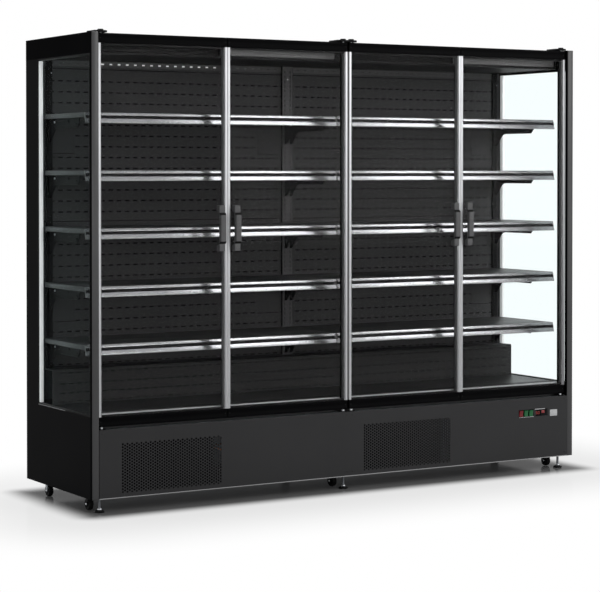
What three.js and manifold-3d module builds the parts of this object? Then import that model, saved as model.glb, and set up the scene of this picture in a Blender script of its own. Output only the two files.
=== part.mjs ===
// Four-door glass-fronted multideck display fridge with its own refrigeration, in millimetres.
// +Z is up, +X is to the right of someone facing the doors, and the doors face -Y. The origin
// is on the floor, in the middle of the width and of the depth over the handles.

import * as THREE from "three";
import { mergeVertices } from "three/addons/utils/BufferGeometryUtils.js";
import Module from "manifold-3d";

const wasm = await Module();
wasm.setup();

// --- Driving dimensions -------------------------------------------------------------------

// Casing
const BODY_WIDTH = 2500; // over both end frames
const BODY_DEPTH = 680; // front of the posts to the back of the casing
const BODY_HEIGHT = 1920; // underside of the chassis to the top of the roof
const FLOOR_GAP = 60; // floor to the underside of the chassis
const SEAT = 0.3; // gap between pieces that touch
const PLAY = 0.3; // radial gap of a pin, stem or axle in its hole
const PANEL_SHEET = 3; // canopy, rear duct and kick panel
const CHASSIS_SHEET = 4;
const ROOF_THICKNESS = 40;
const BACK_THICKNESS = 25;

// End frames and their windows
const END_THICKNESS = 22;
const POST_WIDTH = 32;
const POST_DEPTH = 20;
const REAR_POST_DEPTH = 127;
const TOP_BAND = 87; // end frame above its window
const LOWER_BAND = 340; // end frame below its window
const END_GLASS_THICKNESS = 20;
const END_GLASS_INSET = 1; // outer face of the frame to the outer face of the glass

// Base: chassis, kick panel and deck
const KICK_HEIGHT = 286;
const CHASSIS_TOP = 284; // above the underside
const BEAM_HEIGHT = 24;
const BEAM_DEPTH = 70;
const CHASSIS_LIP = 24;
const CHASSIS_POST_WIDTH = 30;
const DECK_TOP = 345; // above the underside
const DECK_GAP = 8; // back of the doors to the front of the deck, for the swing of the doors
const GRILLE_WIDTH = 471;
const GRILLE_HEIGHT = 211;
const GRILLE_BOTTOM = 17; // above the underside
const GRILLE_FROM_END = 133; // left end of the body to the left grille
const GRILLE_RIGHT_X = 71; // left edge of the right grille
const GRILLE_HOLE_RADIUS = 16;
const GRILLE_PITCH = 58;
const GRILLE_ROWS = 4;
const VENT_SLOTS = 6; // in the back of the machine space
const VENT_SLOT_LENGTH = 300;
const VENT_SLOT_HEIGHT = 14;
const VENT_SLOT_PITCH = 34;
const VENT_BOTTOM = 60; // lowest slot above the underside
const VENT_CENTRES = [-600, 600];

// Doors
const DOOR_RECESS = 15; // front of the posts to the front of the doors
const DOOR_THICKNESS = 30;
const DOOR_TOP_GAP = 3; // top of the doors below the top of the roof
const DOOR_FOOT_GAP = 10; // kick panel to the bottom of the doors
const DOOR_OUTER_GAP = 5; // beside a post
const DOOR_PAIR_GAP = 3; // between the free edges of a pair
const DOOR_CENTRE_GAP = 10; // between the two middle hinge edges
const STILE = 12;
const RAIL = 41;
const DOOR_GLASS_THICKNESS = 26;
const DOOR_GLASS_INSET = 0.5; // front of the door frame to the front of the glass
const PIVOT_FROM_EDGE = 16;
const PIVOT_FROM_FRONT = 12;

// Door handles
const HANDLE_WIDTH = 27;
const HANDLE_LENGTH = 196;
const HANDLE_DEPTH = 35.2;
const HANDLE_FOOT = 33; // height of each end block
const HANDLE_FOOT_DEPTH = 23;
const HANDLE_SHOULDER = 10; // height of the slope from an end block to the grip
const FINGER_DEPTH = 19;
const HANDLE_INSET = 22; // free edge of the door to the handle
const HANDLE_CENTRE = 1107; // above the underside

// Door hinges
const TOP_PLATE_HALF = 30; // half width beside a pivot
const BOTTOM_PLATE_HALF = 20;
const HINGE_NOSE = 13; // pivot to the front of the top plate
const HINGE_CHAMFER = 12;
const TOP_PLATE = 8;
const TOP_PLATE_REACH = 44; // over the roof, behind its front edge
const BOTTOM_PLATE = 4;
const BOTTOM_PLATE_REACH = 15; // behind the pivot
const BOSS_RADIUS = 12.5;
const BOSS_HEIGHT = 5;
const HINGE_PIN_RADIUS = 4;
const PIN_ENGAGEMENT = 20; // pin inside the door
const PIN_HOLE_DEPTH = 22;
const COLLAR_RADIUS = 8;
const ROOF_FRONT = 53; // behind the front of the posts, clear of the swinging doors

// Air ducts and canopy
const CANOPY_HEIGHT = 45;
const CANOPY_FRONT = 100; // behind the front of the posts
const DUCT_DEPTH = 125; // rear duct's front face to the back of the casing
const DUCT_BOX_DEPTH = 230; // lower duct box's front face to the back of the casing
const DUCT_BOX_TOP = 495; // above the underside

// Shelf uprights
const UPRIGHT_DEPTH = 10;
const END_UPRIGHT_WIDTH = 28;
const END_UPRIGHT_INSET = 17; // inside of the end frame to the upright
const CENTRE_UPRIGHT_WIDTH = 58;
const SLOT_FROM_CENTRE = 14; // slot columns of the centre upright
const UPRIGHT_RAIL = 20; // height of the rails that join the uprights

// Shelves
const SHELF_COUNT = 5; // in each column
const FIRST_SHELF = 626; // top of the lowest shelf above the underside
const SHELF_PITCH = 242;
const SHELF_FRONT = 120; // top of the price rail behind the front of the posts
const SHELF_BACK_GAP = 5; // tray to the uprights
const SHELF_END_GAP = 2; // tray to the end frame
const SHELF_CENTRE_GAP = 1; // tray to the middle plane
const TRAY_SHEET = 2;
const TRAY_SKIRT = 20;
const RAIL_HEIGHT = 44;
const RAIL_LEAN = 10; // bottom of the price rail in front of its top
const RAIL_UPPER_LIP = 13;
const RAIL_LOWER_LIP = 18;
const RAIL_CHANNEL = 3; // depth of the label channel
const RAIL_SHEET = 2.5;
const BRACKET_SHEET = 3;
const BRACKET_LEG = 119; // below the tray
const BRACKET_LEG_WIDTH = 16;
const BRACKET_ARM_DROP = 78; // underside of the arm below the top of the shelf
const BRACKET_ARM_LENGTH = 312; // from the upright
const BRACKET_CHAMFER = 22;
const BRACKET_FILLET = 70;
const HOOK_HEIGHT = 14;
const HOOK_DEPTH = 8.5;
const HOOK_DROPS = [12, 88]; // tops of the hooks below the top of the shelf

// Controls in the kick panel
const ROCKER_WIDTH = 24;
const ROCKER_RADIUS = 15; // half height, and the reach of its corners about the pivot
const ROCKER_PITCH = 29;
const ROCKER_FROM_END = 304; // middle of the first rocker to the right end of the body
const CONTROL_CENTRE = 216; // above the underside
const ROCKER_TILT = 7; // degrees, at rest
const ROCKER_FACE = 5; // tips of the face in front of the pivot
const ROCKER_HOLLOW = 3; // middle of the face in front of the pivot
const ROCKER_BACK = 7; // behind the pivot
const ROCKER_NAMES = ["main_switch", "light_switch_left", "light_switch_right"];
const SWITCH_BOX_DEPTH = 28;
const SWITCH_BOX_WALL = 2;
const THERMOSTAT_FROM_END = 189; // its middle to the right end of the body
const THERMOSTAT_WIDTH = 76;
const THERMOSTAT_HEIGHT = 38;
const THERMOSTAT_LIP = 3; // bezel beyond its cut-out on each side
const THERMOSTAT_PROUD = 3;
const THERMOSTAT_BODY = 55; // depth behind the panel

// Refrigeration
const UNIT_TRAY = 4;
const UNIT_FRONT = 70; // behind the front of the posts
const UNIT_DEPTH = 470;
const COIL_DEPTH = 45;
const COIL_HEIGHT = 205;
const FAN_RADIUS = 85;
const FAN_GAP = 12; // coil to the fan blades
const FAN_BLADES = 5;
const FAN_BLADE_WIDTH = 46;
const FAN_BLADE_SHEET = 3;
const FAN_BLADE_TWIST = 24; // degrees
const FAN_HUB_RADIUS = 24;
const FAN_HUB_LENGTH = 24;
const FAN_CENTRE = 112; // above the underside
const FAN_NOSE = 4; // closed end of the hub
const SHAFT_RADIUS = 4;
const MOTOR_RADIUS = 30;
const MOTOR_LENGTH = 46;
const MOTOR_STRAP_WIDTH = 40;
const MOTOR_STRAP_SHEET = 6;
const MOTOR_GAP = 2; // hub to the motor
const COMPRESSOR_X = -330;
const COMPRESSOR_FROM_FRONT = 380;
const COMPRESSOR_RADIUS = 78;
const COMPRESSOR_HEIGHT = 190;
const COMPRESSOR_SHOULDER = 24;
const EVAPORATOR_WIDTH = 2000;
const EVAPORATOR_HEIGHT = 118;
const EVAPORATOR_DEPTH = 150;
const EVAPORATOR_FRONT_GAP = 12; // inside of the duct box to the evaporator
const EVAPORATOR_FINS = 20;
const FIN_GROOVE = 30; // depth of the gaps between fins

// Casters and levelling feet
const FOOT_INSET = 53; // end of the body to the outer feet
const CENTRE_FOOT_X = -8;
const FOOT_FROM_FRONT = 45;
const FOOT_RADIUS = 20;
const FOOT_PAD = 10;
const STEM_RADIUS = 6;
const STEM_ABOVE_PLATE = 22;
const CASTER_FROM_FOOT = 12; // to the left of each foot
const CASTER_FROM_FRONT = 105;
const REAR_CASTER_FROM_BACK = 150;
const CASTER_TRAIL = 15;
const FRONT_WHEEL_LIFT = 1; // clear of the floor, as the feet carry the front
const WHEEL_RADIUS = 25;
const WHEEL_WIDTH = 20;
const WHEEL_EDGE = 3; // shoulder of the tread
const WHEEL_SIDES = 20;
const AXLE_RADIUS = 4;
const FORK_SHEET = 3;
const FORK_GAP = 1; // wheel to each cheek
const FORK_TOP_RADIUS = 19;
const FORK_TOP_SHEET = 3;
const CHEEK_TOP_HALF = 12; // half depth of a cheek at its top
const CHEEK_TIP_HALF = 7;
const CHEEK_BELOW_AXLE = 6;

// --- Places that follow from them -----------------------------------------------------------

const HALF_WIDTH = BODY_WIDTH / 2;
const HANDLE_PROUD = HANDLE_DEPTH + SEAT - DOOR_GLASS_INSET - DOOR_RECESS;
const FRONT_Y = (HANDLE_PROUD - BODY_DEPTH) / 2;
const BACK_Y = FRONT_Y + BODY_DEPTH;
const BASE_Z = FLOOR_GAP;
const ROOF_TOP_Z = BASE_Z + BODY_HEIGHT;
const ROOF_UNDER_Z = ROOF_TOP_Z - ROOF_THICKNESS;
const INNER_X = HALF_WIDTH - END_THICKNESS - SEAT; // what fits between the end frames
const BACK_FRONT_Y = BACK_Y - BACK_THICKNESS;
const CHASSIS_FRONT_Y = FRONT_Y + PANEL_SHEET + SEAT;
const CHASSIS_BACK_Y = BACK_FRONT_Y - SEAT;
const CHASSIS_TOP_Z = BASE_Z + CHASSIS_TOP;
const CHASSIS_FLOOR_Z = BASE_Z + CHASSIS_SHEET;
const BEAM_UNDER_Z = CHASSIS_TOP_Z - BEAM_HEIGHT;
const DECK_TOP_Z = BASE_Z + DECK_TOP;
const DOOR_FRONT_Y = FRONT_Y + DOOR_RECESS;
const DOOR_BACK_Y = DOOR_FRONT_Y + DOOR_THICKNESS;
const DOOR_BOTTOM_Z = BASE_Z + KICK_HEIGHT + DOOR_FOOT_GAP;
const DOOR_TOP_Z = ROOF_TOP_Z - DOOR_TOP_GAP;
const DOOR_SPAN = HALF_WIDTH - POST_WIDTH - DOOR_OUTER_GAP - DOOR_PAIR_GAP - DOOR_CENTRE_GAP / 2;
const DOOR_WIDTH = DOOR_SPAN / 2;
const PIVOT_Y = DOOR_FRONT_Y + PIVOT_FROM_FRONT;
const CANOPY_UNDER_Z = ROOF_UNDER_Z - CANOPY_HEIGHT;
const DUCT_FRONT_Y = BACK_Y - DUCT_DEPTH;
const DUCT_BOX_FRONT_Y = BACK_Y - DUCT_BOX_DEPTH;
const DUCT_BOX_TOP_Z = BASE_Z + DUCT_BOX_TOP;
const UPRIGHT_BACK_Y = DUCT_FRONT_Y - SEAT;
const UPRIGHT_FRONT_Y = UPRIGHT_BACK_Y - UPRIGHT_DEPTH;
const END_UPRIGHT_X = HALF_WIDTH - END_THICKNESS - END_UPRIGHT_INSET - END_UPRIGHT_WIDTH / 2;
const KICK_HALF = HALF_WIDTH - POST_WIDTH - SEAT;
const GRILLE_LEFT_X = GRILLE_FROM_END - HALF_WIDTH;
const CONTROL_Z = BASE_Z + CONTROL_CENTRE;
const ROCKER_X = HALF_WIDTH - ROCKER_FROM_END;
const ROCKER_GAP_HALF = ROCKER_WIDTH / 2 + SEAT;
const ROCKER_GAP_Z = [CONTROL_Z - ROCKER_RADIUS - 2 * SEAT, CONTROL_Z + ROCKER_RADIUS + 2 * SEAT];
const THERMOSTAT_X = HALF_WIDTH - THERMOSTAT_FROM_END;
const FOOT_Y = FRONT_Y + FOOT_FROM_FRONT;
const FRONT_CASTER_Y = FRONT_Y + CASTER_FROM_FRONT;
const REAR_CASTER_Y = BACK_Y - REAR_CASTER_FROM_BACK;
const FOOT_PLACES = {
  left: -(HALF_WIDTH - FOOT_INSET),
  centre: CENTRE_FOOT_X,
  right: HALF_WIDTH - FOOT_INSET,
};
const DOORS = [
  { left: -(HALF_WIDTH - POST_WIDTH - DOOR_OUTER_GAP), hinge: "left" },
  { left: -(DOOR_CENTRE_GAP / 2 + DOOR_WIDTH), hinge: "right" },
  { left: DOOR_CENTRE_GAP / 2, hinge: "left" },
  { left: HALF_WIDTH - POST_WIDTH - DOOR_OUTER_GAP - DOOR_WIDTH, hinge: "right" },
];

// --- Materials --------------------------------------------------------------------------------

const finish = (color, roughness, metalness) =>
  new THREE.MeshStandardMaterial({ color, roughness, metalness });
const DARK_PAINT = finish(0x3b3b3d, 0.5, 0.1);
const BLACK_PAINT = finish(0x1c1c1e, 0.55, 0.1);
const BRIGHT_METAL = finish(0xc9ccd0, 0.3, 0.9);
const GALVANISED = finish(0x8d9196, 0.5, 0.7);
const BLACK_PLASTIC = finish(0x202022, 0.6, 0);
const RUBBER = finish(0x151515, 0.85, 0);
const RED_PLASTIC = finish(0xc81e1e, 0.35, 0);
const GREEN_PLASTIC = finish(0x2fae57, 0.35, 0);
const GLASS = new THREE.MeshStandardMaterial({
  color: 0xe6f3f1,
  roughness: 0.05,
  metalness: 0,
  transparent: true,
  opacity: 0.35,
});

// --- Solids -----------------------------------------------------------------------------------

/** The closed geometry as a manifold solid. */
function solidOf(geometry) {
  const bare = geometry.index ? geometry.toNonIndexed() : geometry;
  bare.deleteAttribute("normal");
  bare.deleteAttribute("uv");
  const merged = mergeVertices(bare, 1e-4);
  return new wasm.Manifold(
    new wasm.Mesh({
      numProp: 3,
      vertProperties: merged.attributes.position.array,
      triVerts: new Uint32Array(merged.index.array),
    }),
  );
}

/** A box between two corners given as [from, to] along each axis. */
function block([x0, x1], [y0, y1], [z0, z1]) {
  const box = new THREE.BoxGeometry(x1 - x0, y1 - y0, z1 - z0);
  box.translate((x0 + x1) / 2, (y0 + y1) / 2, (z0 + z1) / 2);
  return solidOf(box);
}

/** A shape through the points, each a pair. */
function outline(points) {
  return new THREE.Shape(points.map(([u, v]) => new THREE.Vector2(u, v)));
}

/** A shape drawn in (y, z) and extruded along X. */
function alongX(shape, [x0, x1]) {
  const made = new THREE.ExtrudeGeometry(shape, { depth: x1 - x0, bevelEnabled: false, curveSegments: 5 });
  made.applyMatrix4(new THREE.Matrix4().set(0, 0, 1, x0, 1, 0, 0, 0, 0, 1, 0, 0, 0, 0, 0, 1));
  return solidOf(made);
}

/** A shape drawn in (x, z) and extruded along Y. */
function alongY(shape, [y0, y1]) {
  const made = new THREE.ExtrudeGeometry(shape, { depth: y1 - y0, bevelEnabled: false });
  made.applyMatrix4(new THREE.Matrix4().set(1, 0, 0, 0, 0, 0, -1, y1, 0, 1, 0, 0, 0, 0, 0, 1));
  return solidOf(made);
}

/** A shape drawn in (x, y) and extruded along Z. */
function alongZ(shape, [z0, z1]) {
  const made = new THREE.ExtrudeGeometry(shape, { depth: z1 - z0, bevelEnabled: false });
  made.translate(0, 0, z0);
  return solidOf(made);
}

/** A round bar along one axis: centre is the pair of its other two coordinates. */
function rod(axis, radius, [from, to], [u, v], sides = 12) {
  const bar = new THREE.CylinderGeometry(radius, radius, to - from, sides);
  const middle = (from + to) / 2;
  if (axis === "x") bar.rotateZ(Math.PI / 2).translate(middle, u, v);
  if (axis === "y") bar.translate(u, middle, v);
  if (axis === "z") bar.rotateX(Math.PI / 2).translate(u, v, middle);
  return solidOf(bar);
}

const join = (solids) => solids.reduce((whole, piece) => whole.add(piece));
const cut = (solid, tools) => tools.reduce((whole, tool) => whole.subtract(tool), solid);
const range = (count) => Array.from({ length: count }, (_, index) => index);
const around = (middle, half) => [middle - half, middle + half];

const fridge = new THREE.Group();

/** Adds the solid to the fridge as one named mesh. */
function addPiece(name, solid, material) {
  const { vertProperties, triVerts } = solid.getMesh();
  const geometry = new THREE.BufferGeometry();
  geometry.setAttribute("position", new THREE.BufferAttribute(new Float32Array(vertProperties), 3));
  geometry.setIndex(new THREE.BufferAttribute(new Uint32Array(triVerts), 1));
  geometry.computeVertexNormals();
  const mesh = new THREE.Mesh(geometry, material);
  mesh.name = name;
  fridge.add(mesh);
}

// --- Casters and levelling feet -----------------------------------------------------------------

/** A wheel about an axle along X at (x, y, z), with one flat of its tread facing down. */
function wheel(x, y, z) {
  const flatToCorner = 1 / Math.cos(Math.PI / WHEEL_SIDES);
  const rim = WHEEL_RADIUS * flatToCorner;
  const half = WHEEL_WIDTH / 2;
  const profile = [
    [0, -half],
    [rim - WHEEL_EDGE, -half],
    [rim, WHEEL_EDGE - half],
    [rim, half - WHEEL_EDGE],
    [rim - WHEEL_EDGE, half],
    [0, half],
  ].map(([radius, along]) => new THREE.Vector2(radius, along));
  const tyre = new THREE.LatheGeometry(profile, WHEEL_SIDES);
  tyre.rotateY(Math.PI / WHEEL_SIDES).rotateZ(Math.PI / 2).translate(x, y, z);
  return cut(solidOf(tyre), [rod("x", AXLE_RADIUS + PLAY, around(x, WHEEL_WIDTH), [y, z])]);
}

/** Two cheeks and an axle, hung from [topY, topZ] down to a wheel centred at [wheelY, wheelZ]. */
function wheelCheeks(x, [topY, topZ], [wheelY, wheelZ]) {
  const inner = WHEEL_WIDTH / 2 + FORK_GAP;
  const side = outline([
    [topY - CHEEK_TOP_HALF, topZ],
    [wheelY - CHEEK_TIP_HALF, wheelZ - CHEEK_BELOW_AXLE],
    [wheelY + CHEEK_TIP_HALF, wheelZ - CHEEK_BELOW_AXLE],
    [topY + CHEEK_TOP_HALF, topZ],
  ]);
  return join([
    alongX(side, [x - inner - FORK_SHEET, x - inner]),
    alongX(side, [x + inner, x + inner + FORK_SHEET]),
    rod("x", AXLE_RADIUS, around(x, inner + FORK_SHEET / 2), [wheelY, wheelZ]),
  ]);
}

function addCastersAndFeet() {
  const plateZ = BASE_Z - SEAT;
  for (const [place, footX] of Object.entries(FOOT_PLACES)) {
    const casterX = footX - CASTER_FROM_FOOT;
    const axle = [FRONT_CASTER_Y + CASTER_TRAIL, WHEEL_RADIUS + FRONT_WHEEL_LIFT];
    const fork = join([
      rod("z", FORK_TOP_RADIUS, [plateZ - FORK_TOP_SHEET, plateZ], [casterX, FRONT_CASTER_Y], 16),
      rod("z", STEM_RADIUS, [plateZ - FORK_TOP_SHEET, CHASSIS_FLOOR_Z], [casterX, FRONT_CASTER_Y]),
      wheelCheeks(casterX, [FRONT_CASTER_Y, plateZ - FORK_TOP_SHEET / 2], axle),
    ]);
    addPiece(`front_caster_fork_${place}`, fork, GALVANISED);
    addPiece(`front_caster_wheel_${place}`, wheel(casterX, ...axle), RUBBER);
    addPiece(`rear_caster_wheel_${place}`, wheel(casterX, REAR_CASTER_Y, WHEEL_RADIUS), RUBBER);
    const stemZ = [FOOT_PAD / 2, CHASSIS_FLOOR_Z + STEM_ABOVE_PLATE];
    const foot = join([
      rod("z", FOOT_RADIUS, [0, FOOT_PAD], [footX, FOOT_Y], 20),
      rod("z", STEM_RADIUS, stemZ, [footX, FOOT_Y]),
    ]);
    addPiece(`levelling_foot_${place}`, foot, BLACK_PLASTIC);
  }
}

// --- Base ---------------------------------------------------------------------------------------

function addChassis() {
  const full = around(0, INNER_X);
  const depth = [CHASSIS_FRONT_Y, CHASSIS_BACK_Y];
  const wallZ = [BASE_Z, CHASSIS_TOP_Z];
  const frontSheet = [CHASSIS_FRONT_Y, CHASSIS_FRONT_Y + CHASSIS_SHEET];
  const feet = Object.values(FOOT_PLACES);
  const rearCaster = [BASE_Z + CHASSIS_SHEET / 2, WHEEL_RADIUS].map((z) => [REAR_CASTER_Y, z]);
  const body = join([
    block(full, depth, [BASE_Z, CHASSIS_FLOOR_Z]),
    block(full, frontSheet, [BASE_Z, BASE_Z + CHASSIS_LIP]),
    block([-INNER_X, CHASSIS_SHEET - INNER_X], depth, wallZ),
    block([INNER_X - CHASSIS_SHEET, INNER_X], depth, wallZ),
    block(around(0, CHASSIS_POST_WIDTH / 2), frontSheet, wallZ),
    block(full, [CHASSIS_FRONT_Y, CHASSIS_FRONT_Y + BEAM_DEPTH], [BEAM_UNDER_Z, CHASSIS_TOP_Z]),
    block(full, [CHASSIS_BACK_Y - BEAM_DEPTH, CHASSIS_BACK_Y], [BEAM_UNDER_Z, CHASSIS_TOP_Z]),
    ...feet.map((x) => wheelCheeks(x - CASTER_FROM_FOOT, ...rearCaster)),
  ]);
  const through = [BASE_Z - 1, CHASSIS_FLOOR_Z + 1];
  const holes = feet.flatMap((x) => [
    rod("z", STEM_RADIUS + PLAY, through, [x, FOOT_Y]),
    rod("z", STEM_RADIUS + PLAY, through, [x - CASTER_FROM_FOOT, FRONT_CASTER_Y]),
  ]);
  const notchY = [FRONT_Y, FRONT_Y + POST_DEPTH + SEAT];
  const notchZ = [BASE_Z - 1, CHASSIS_TOP_Z + 1];
  const notches = [
    block([-HALF_WIDTH, -KICK_HALF], notchY, notchZ),
    block([KICK_HALF, HALF_WIDTH], notchY, notchZ),
  ];
  addPiece("base_chassis", cut(body, [...holes, ...notches]), GALVANISED);
}

/** The holes of one grille, row by row, alternate rows shifted by half a pitch. */
function grilleHoles(left) {
  const columns = Math.floor(GRILLE_WIDTH / GRILLE_PITCH);
  const rowPitch = GRILLE_HEIGHT / GRILLE_ROWS;
  const through = [FRONT_Y - 1, FRONT_Y + PANEL_SHEET + 1];
  return range(GRILLE_ROWS).flatMap((row) =>
    range(columns - (row % 2)).map((column) => {
      const x = left + GRILLE_PITCH * (column + 0.5 + (row % 2) / 2);
      const z = BASE_Z + GRILLE_BOTTOM + rowPitch * (row + 0.5);
      return rod("y", GRILLE_HOLE_RADIUS, through, [x, z], 6);
    }),
  );
}

/** The middles of the rockers from left to right. */
function rockerCentres() {
  return ROCKER_NAMES.map((name, index) => ROCKER_X + index * ROCKER_PITCH);
}

function addKickPanel() {
  const panelBack = FRONT_Y + PANEL_SHEET;
  const through = [FRONT_Y - 1, panelBack + 1];
  const bodyHalf = THERMOSTAT_WIDTH / 2 - THERMOSTAT_LIP + SEAT;
  const bodyHeight = THERMOSTAT_HEIGHT / 2 - THERMOSTAT_LIP + SEAT;
  const openings = [
    ...rockerCentres().map((x) => block(around(x, ROCKER_GAP_HALF), through, ROCKER_GAP_Z)),
    block(around(THERMOSTAT_X, bodyHalf), through, around(CONTROL_Z, bodyHeight)),
  ];
  const sheet = block(around(0, KICK_HALF), [FRONT_Y, panelBack], [BASE_Z, BASE_Z + KICK_HEIGHT]);
  const holes = [...grilleHoles(GRILLE_LEFT_X), ...grilleHoles(GRILLE_RIGHT_X)];
  addPiece("kick_panel", cut(sheet, [...openings, ...holes]), DARK_PAINT);
}

/** A rocker about a pivot in the thickness of the kick panel, its corners on one circle. */
function addRockers() {
  const pivotY = FRONT_Y + PANEL_SHEET / 2;
  const reach = (depth) => Math.sqrt(ROCKER_RADIUS ** 2 - depth ** 2);
  const points = [
    [-ROCKER_FACE, reach(ROCKER_FACE)],
    [-ROCKER_HOLLOW, 0],
    [-ROCKER_FACE, -reach(ROCKER_FACE)],
    [ROCKER_BACK, -reach(ROCKER_BACK)],
    [ROCKER_BACK, reach(ROCKER_BACK)],
  ];
  const tilt = THREE.MathUtils.degToRad(ROCKER_TILT);
  const tilted = points.map(([y, z]) => [
    pivotY + y * Math.cos(tilt) - z * Math.sin(tilt),
    CONTROL_Z + y * Math.sin(tilt) + z * Math.cos(tilt),
  ]);
  ROCKER_NAMES.forEach((name, index) => {
    const solid = alongX(outline(tilted), around(rockerCentres()[index], ROCKER_WIDTH / 2));
    addPiece(name, solid, index === 0 ? RED_PLASTIC : GREEN_PLASTIC);
  });
}

/** The thermostat and, on the same carrier behind the panel, the open box that the rockers sit in. */
function addThermostat() {
  const bodyHalf = THERMOSTAT_WIDTH / 2 - THERMOSTAT_LIP;
  const bodyZ = around(CONTROL_Z, THERMOSTAT_HEIGHT / 2 - THERMOSTAT_LIP);
  const bezelBack = FRONT_Y - SEAT;
  const bezelX = around(THERMOSTAT_X, THERMOSTAT_WIDTH / 2);
  const carrierFront = FRONT_Y + PANEL_SHEET + SEAT;
  const boxBack = FRONT_Y + PANEL_SHEET + SWITCH_BOX_DEPTH;
  const centres = rockerCentres();
  const boxX = [centres[0] - ROCKER_GAP_HALF, centres.at(-1) + ROCKER_GAP_HALF];
  const grown = ([from, to]) => [from - SWITCH_BOX_WALL, to + SWITCH_BOX_WALL];
  const solid = join([
    block(bezelX, [bezelBack - THERMOSTAT_PROUD, bezelBack], around(CONTROL_Z, THERMOSTAT_HEIGHT / 2)),
    block(
      around(THERMOSTAT_X, bodyHalf),
      [bezelBack - THERMOSTAT_PROUD / 2, FRONT_Y + PANEL_SHEET + THERMOSTAT_BODY],
      bodyZ,
    ),
    block([boxX[0], THERMOSTAT_X], [carrierFront, carrierFront + SWITCH_BOX_WALL], bodyZ),
    block(grown(boxX), [carrierFront, boxBack], grown(ROCKER_GAP_Z)),
  ]);
  const hollow = block(boxX, [carrierFront - 1, boxBack - SWITCH_BOX_WALL], ROCKER_GAP_Z);
  addPiece("thermostat", cut(solid, [hollow]), BLACK_PLASTIC);
}

function addDeck() {
  const deckY = [DOOR_BACK_Y + DECK_GAP, BACK_FRONT_Y - SEAT];
  addPiece("base_deck", block(around(0, INNER_X), deckY, [CHASSIS_TOP_Z + SEAT, DECK_TOP_Z]), GALVANISED);
}

// --- Refrigeration --------------------------------------------------------------------------------

const COIL_FRONT_Y = FRONT_Y + UNIT_FRONT;
const COIL_BACK_Y = COIL_FRONT_Y + COIL_DEPTH;
const FAN_Y = COIL_BACK_Y + FAN_GAP;
const MOTOR_Y = FAN_Y + FAN_HUB_LENGTH + MOTOR_GAP;
const FAN_Z = BASE_Z + FAN_CENTRE;
const GRILLE_PLACES = { left: GRILLE_LEFT_X, right: GRILLE_RIGHT_X };
const grilleMiddle = (left) => left + GRILLE_WIDTH / 2;

/** A coil block behind one grille, and the fan motor behind it on a strap. */
function coilAndMotor(left, trayTop) {
  const x = grilleMiddle(left);
  const strapY = [MOTOR_Y + MOTOR_LENGTH - 1, MOTOR_Y + MOTOR_LENGTH + MOTOR_STRAP_SHEET];
  return [
    block([left, left + GRILLE_WIDTH], [COIL_FRONT_Y, COIL_BACK_Y], [trayTop - 1, trayTop + COIL_HEIGHT]),
    block(around(x, MOTOR_STRAP_WIDTH / 2), strapY, [trayTop - 1, FAN_Z + MOTOR_RADIUS]),
    rod("y", MOTOR_RADIUS, [MOTOR_Y, MOTOR_Y + MOTOR_LENGTH], [x, FAN_Z], 16),
    rod("y", SHAFT_RADIUS, [FAN_Y + FAN_NOSE, MOTOR_Y + 1], [x, FAN_Z]),
  ];
}

function addCondensingUnit() {
  const trayUnder = CHASSIS_FLOOR_Z + SEAT;
  const trayTop = trayUnder + UNIT_TRAY;
  const trayX = [GRILLE_LEFT_X, GRILLE_RIGHT_X + GRILLE_WIDTH];
  const bend = COMPRESSOR_SHOULDER;
  const dome = new THREE.LatheGeometry(
    [
      [0, trayTop - 1],
      [COMPRESSOR_RADIUS, trayTop - 1],
      [COMPRESSOR_RADIUS, trayTop + COMPRESSOR_HEIGHT - 2 * bend],
      [COMPRESSOR_RADIUS - bend, trayTop + COMPRESSOR_HEIGHT - bend / 2],
      [0, trayTop + COMPRESSOR_HEIGHT],
    ].map(([radius, height]) => new THREE.Vector2(radius, height)),
    20,
  );
  dome.rotateX(Math.PI / 2).translate(COMPRESSOR_X, FRONT_Y + COMPRESSOR_FROM_FRONT, 0);
  const solid = join([
    block(trayX, [COIL_FRONT_Y, COIL_FRONT_Y + UNIT_DEPTH], [trayUnder, trayTop]),
    ...coilAndMotor(GRILLE_LEFT_X, trayTop),
    ...coilAndMotor(GRILLE_RIGHT_X, trayTop),
    solidOf(dome),
  ]);
  addPiece("condensing_unit", solid, BLACK_PAINT);
}

/** A fan on the motor shaft: a hub with twisted blades. */
function addFans() {
  const bladeLength = FAN_RADIUS - FAN_HUB_RADIUS / 2;
  const hubMiddle = FAN_Y + FAN_HUB_LENGTH / 2;
  for (const [place, left] of Object.entries(GRILLE_PLACES)) {
    const x = grilleMiddle(left);
    const blades = range(FAN_BLADES).map((index) => {
      const blade = new THREE.BoxGeometry(FAN_BLADE_WIDTH, FAN_BLADE_SHEET, bladeLength);
      blade.rotateZ(THREE.MathUtils.degToRad(FAN_BLADE_TWIST));
      blade.translate(0, 0, FAN_HUB_RADIUS / 2 + bladeLength / 2);
      blade.rotateY((index * 2 * Math.PI) / FAN_BLADES).translate(x, hubMiddle, FAN_Z);
      return solidOf(blade);
    });
    const hub = rod("y", FAN_HUB_RADIUS, [FAN_Y, FAN_Y + FAN_HUB_LENGTH], [x, FAN_Z], 16);
    const boreY = [FAN_Y + FAN_NOSE - SEAT, FAN_Y + FAN_HUB_LENGTH + 1];
    const bore = rod("y", SHAFT_RADIUS + PLAY, boreY, [x, FAN_Z]);
    addPiece(`condenser_fan_${place}`, cut(join([hub, ...blades]), [bore]), BLACK_PLASTIC);
  }
}

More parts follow.
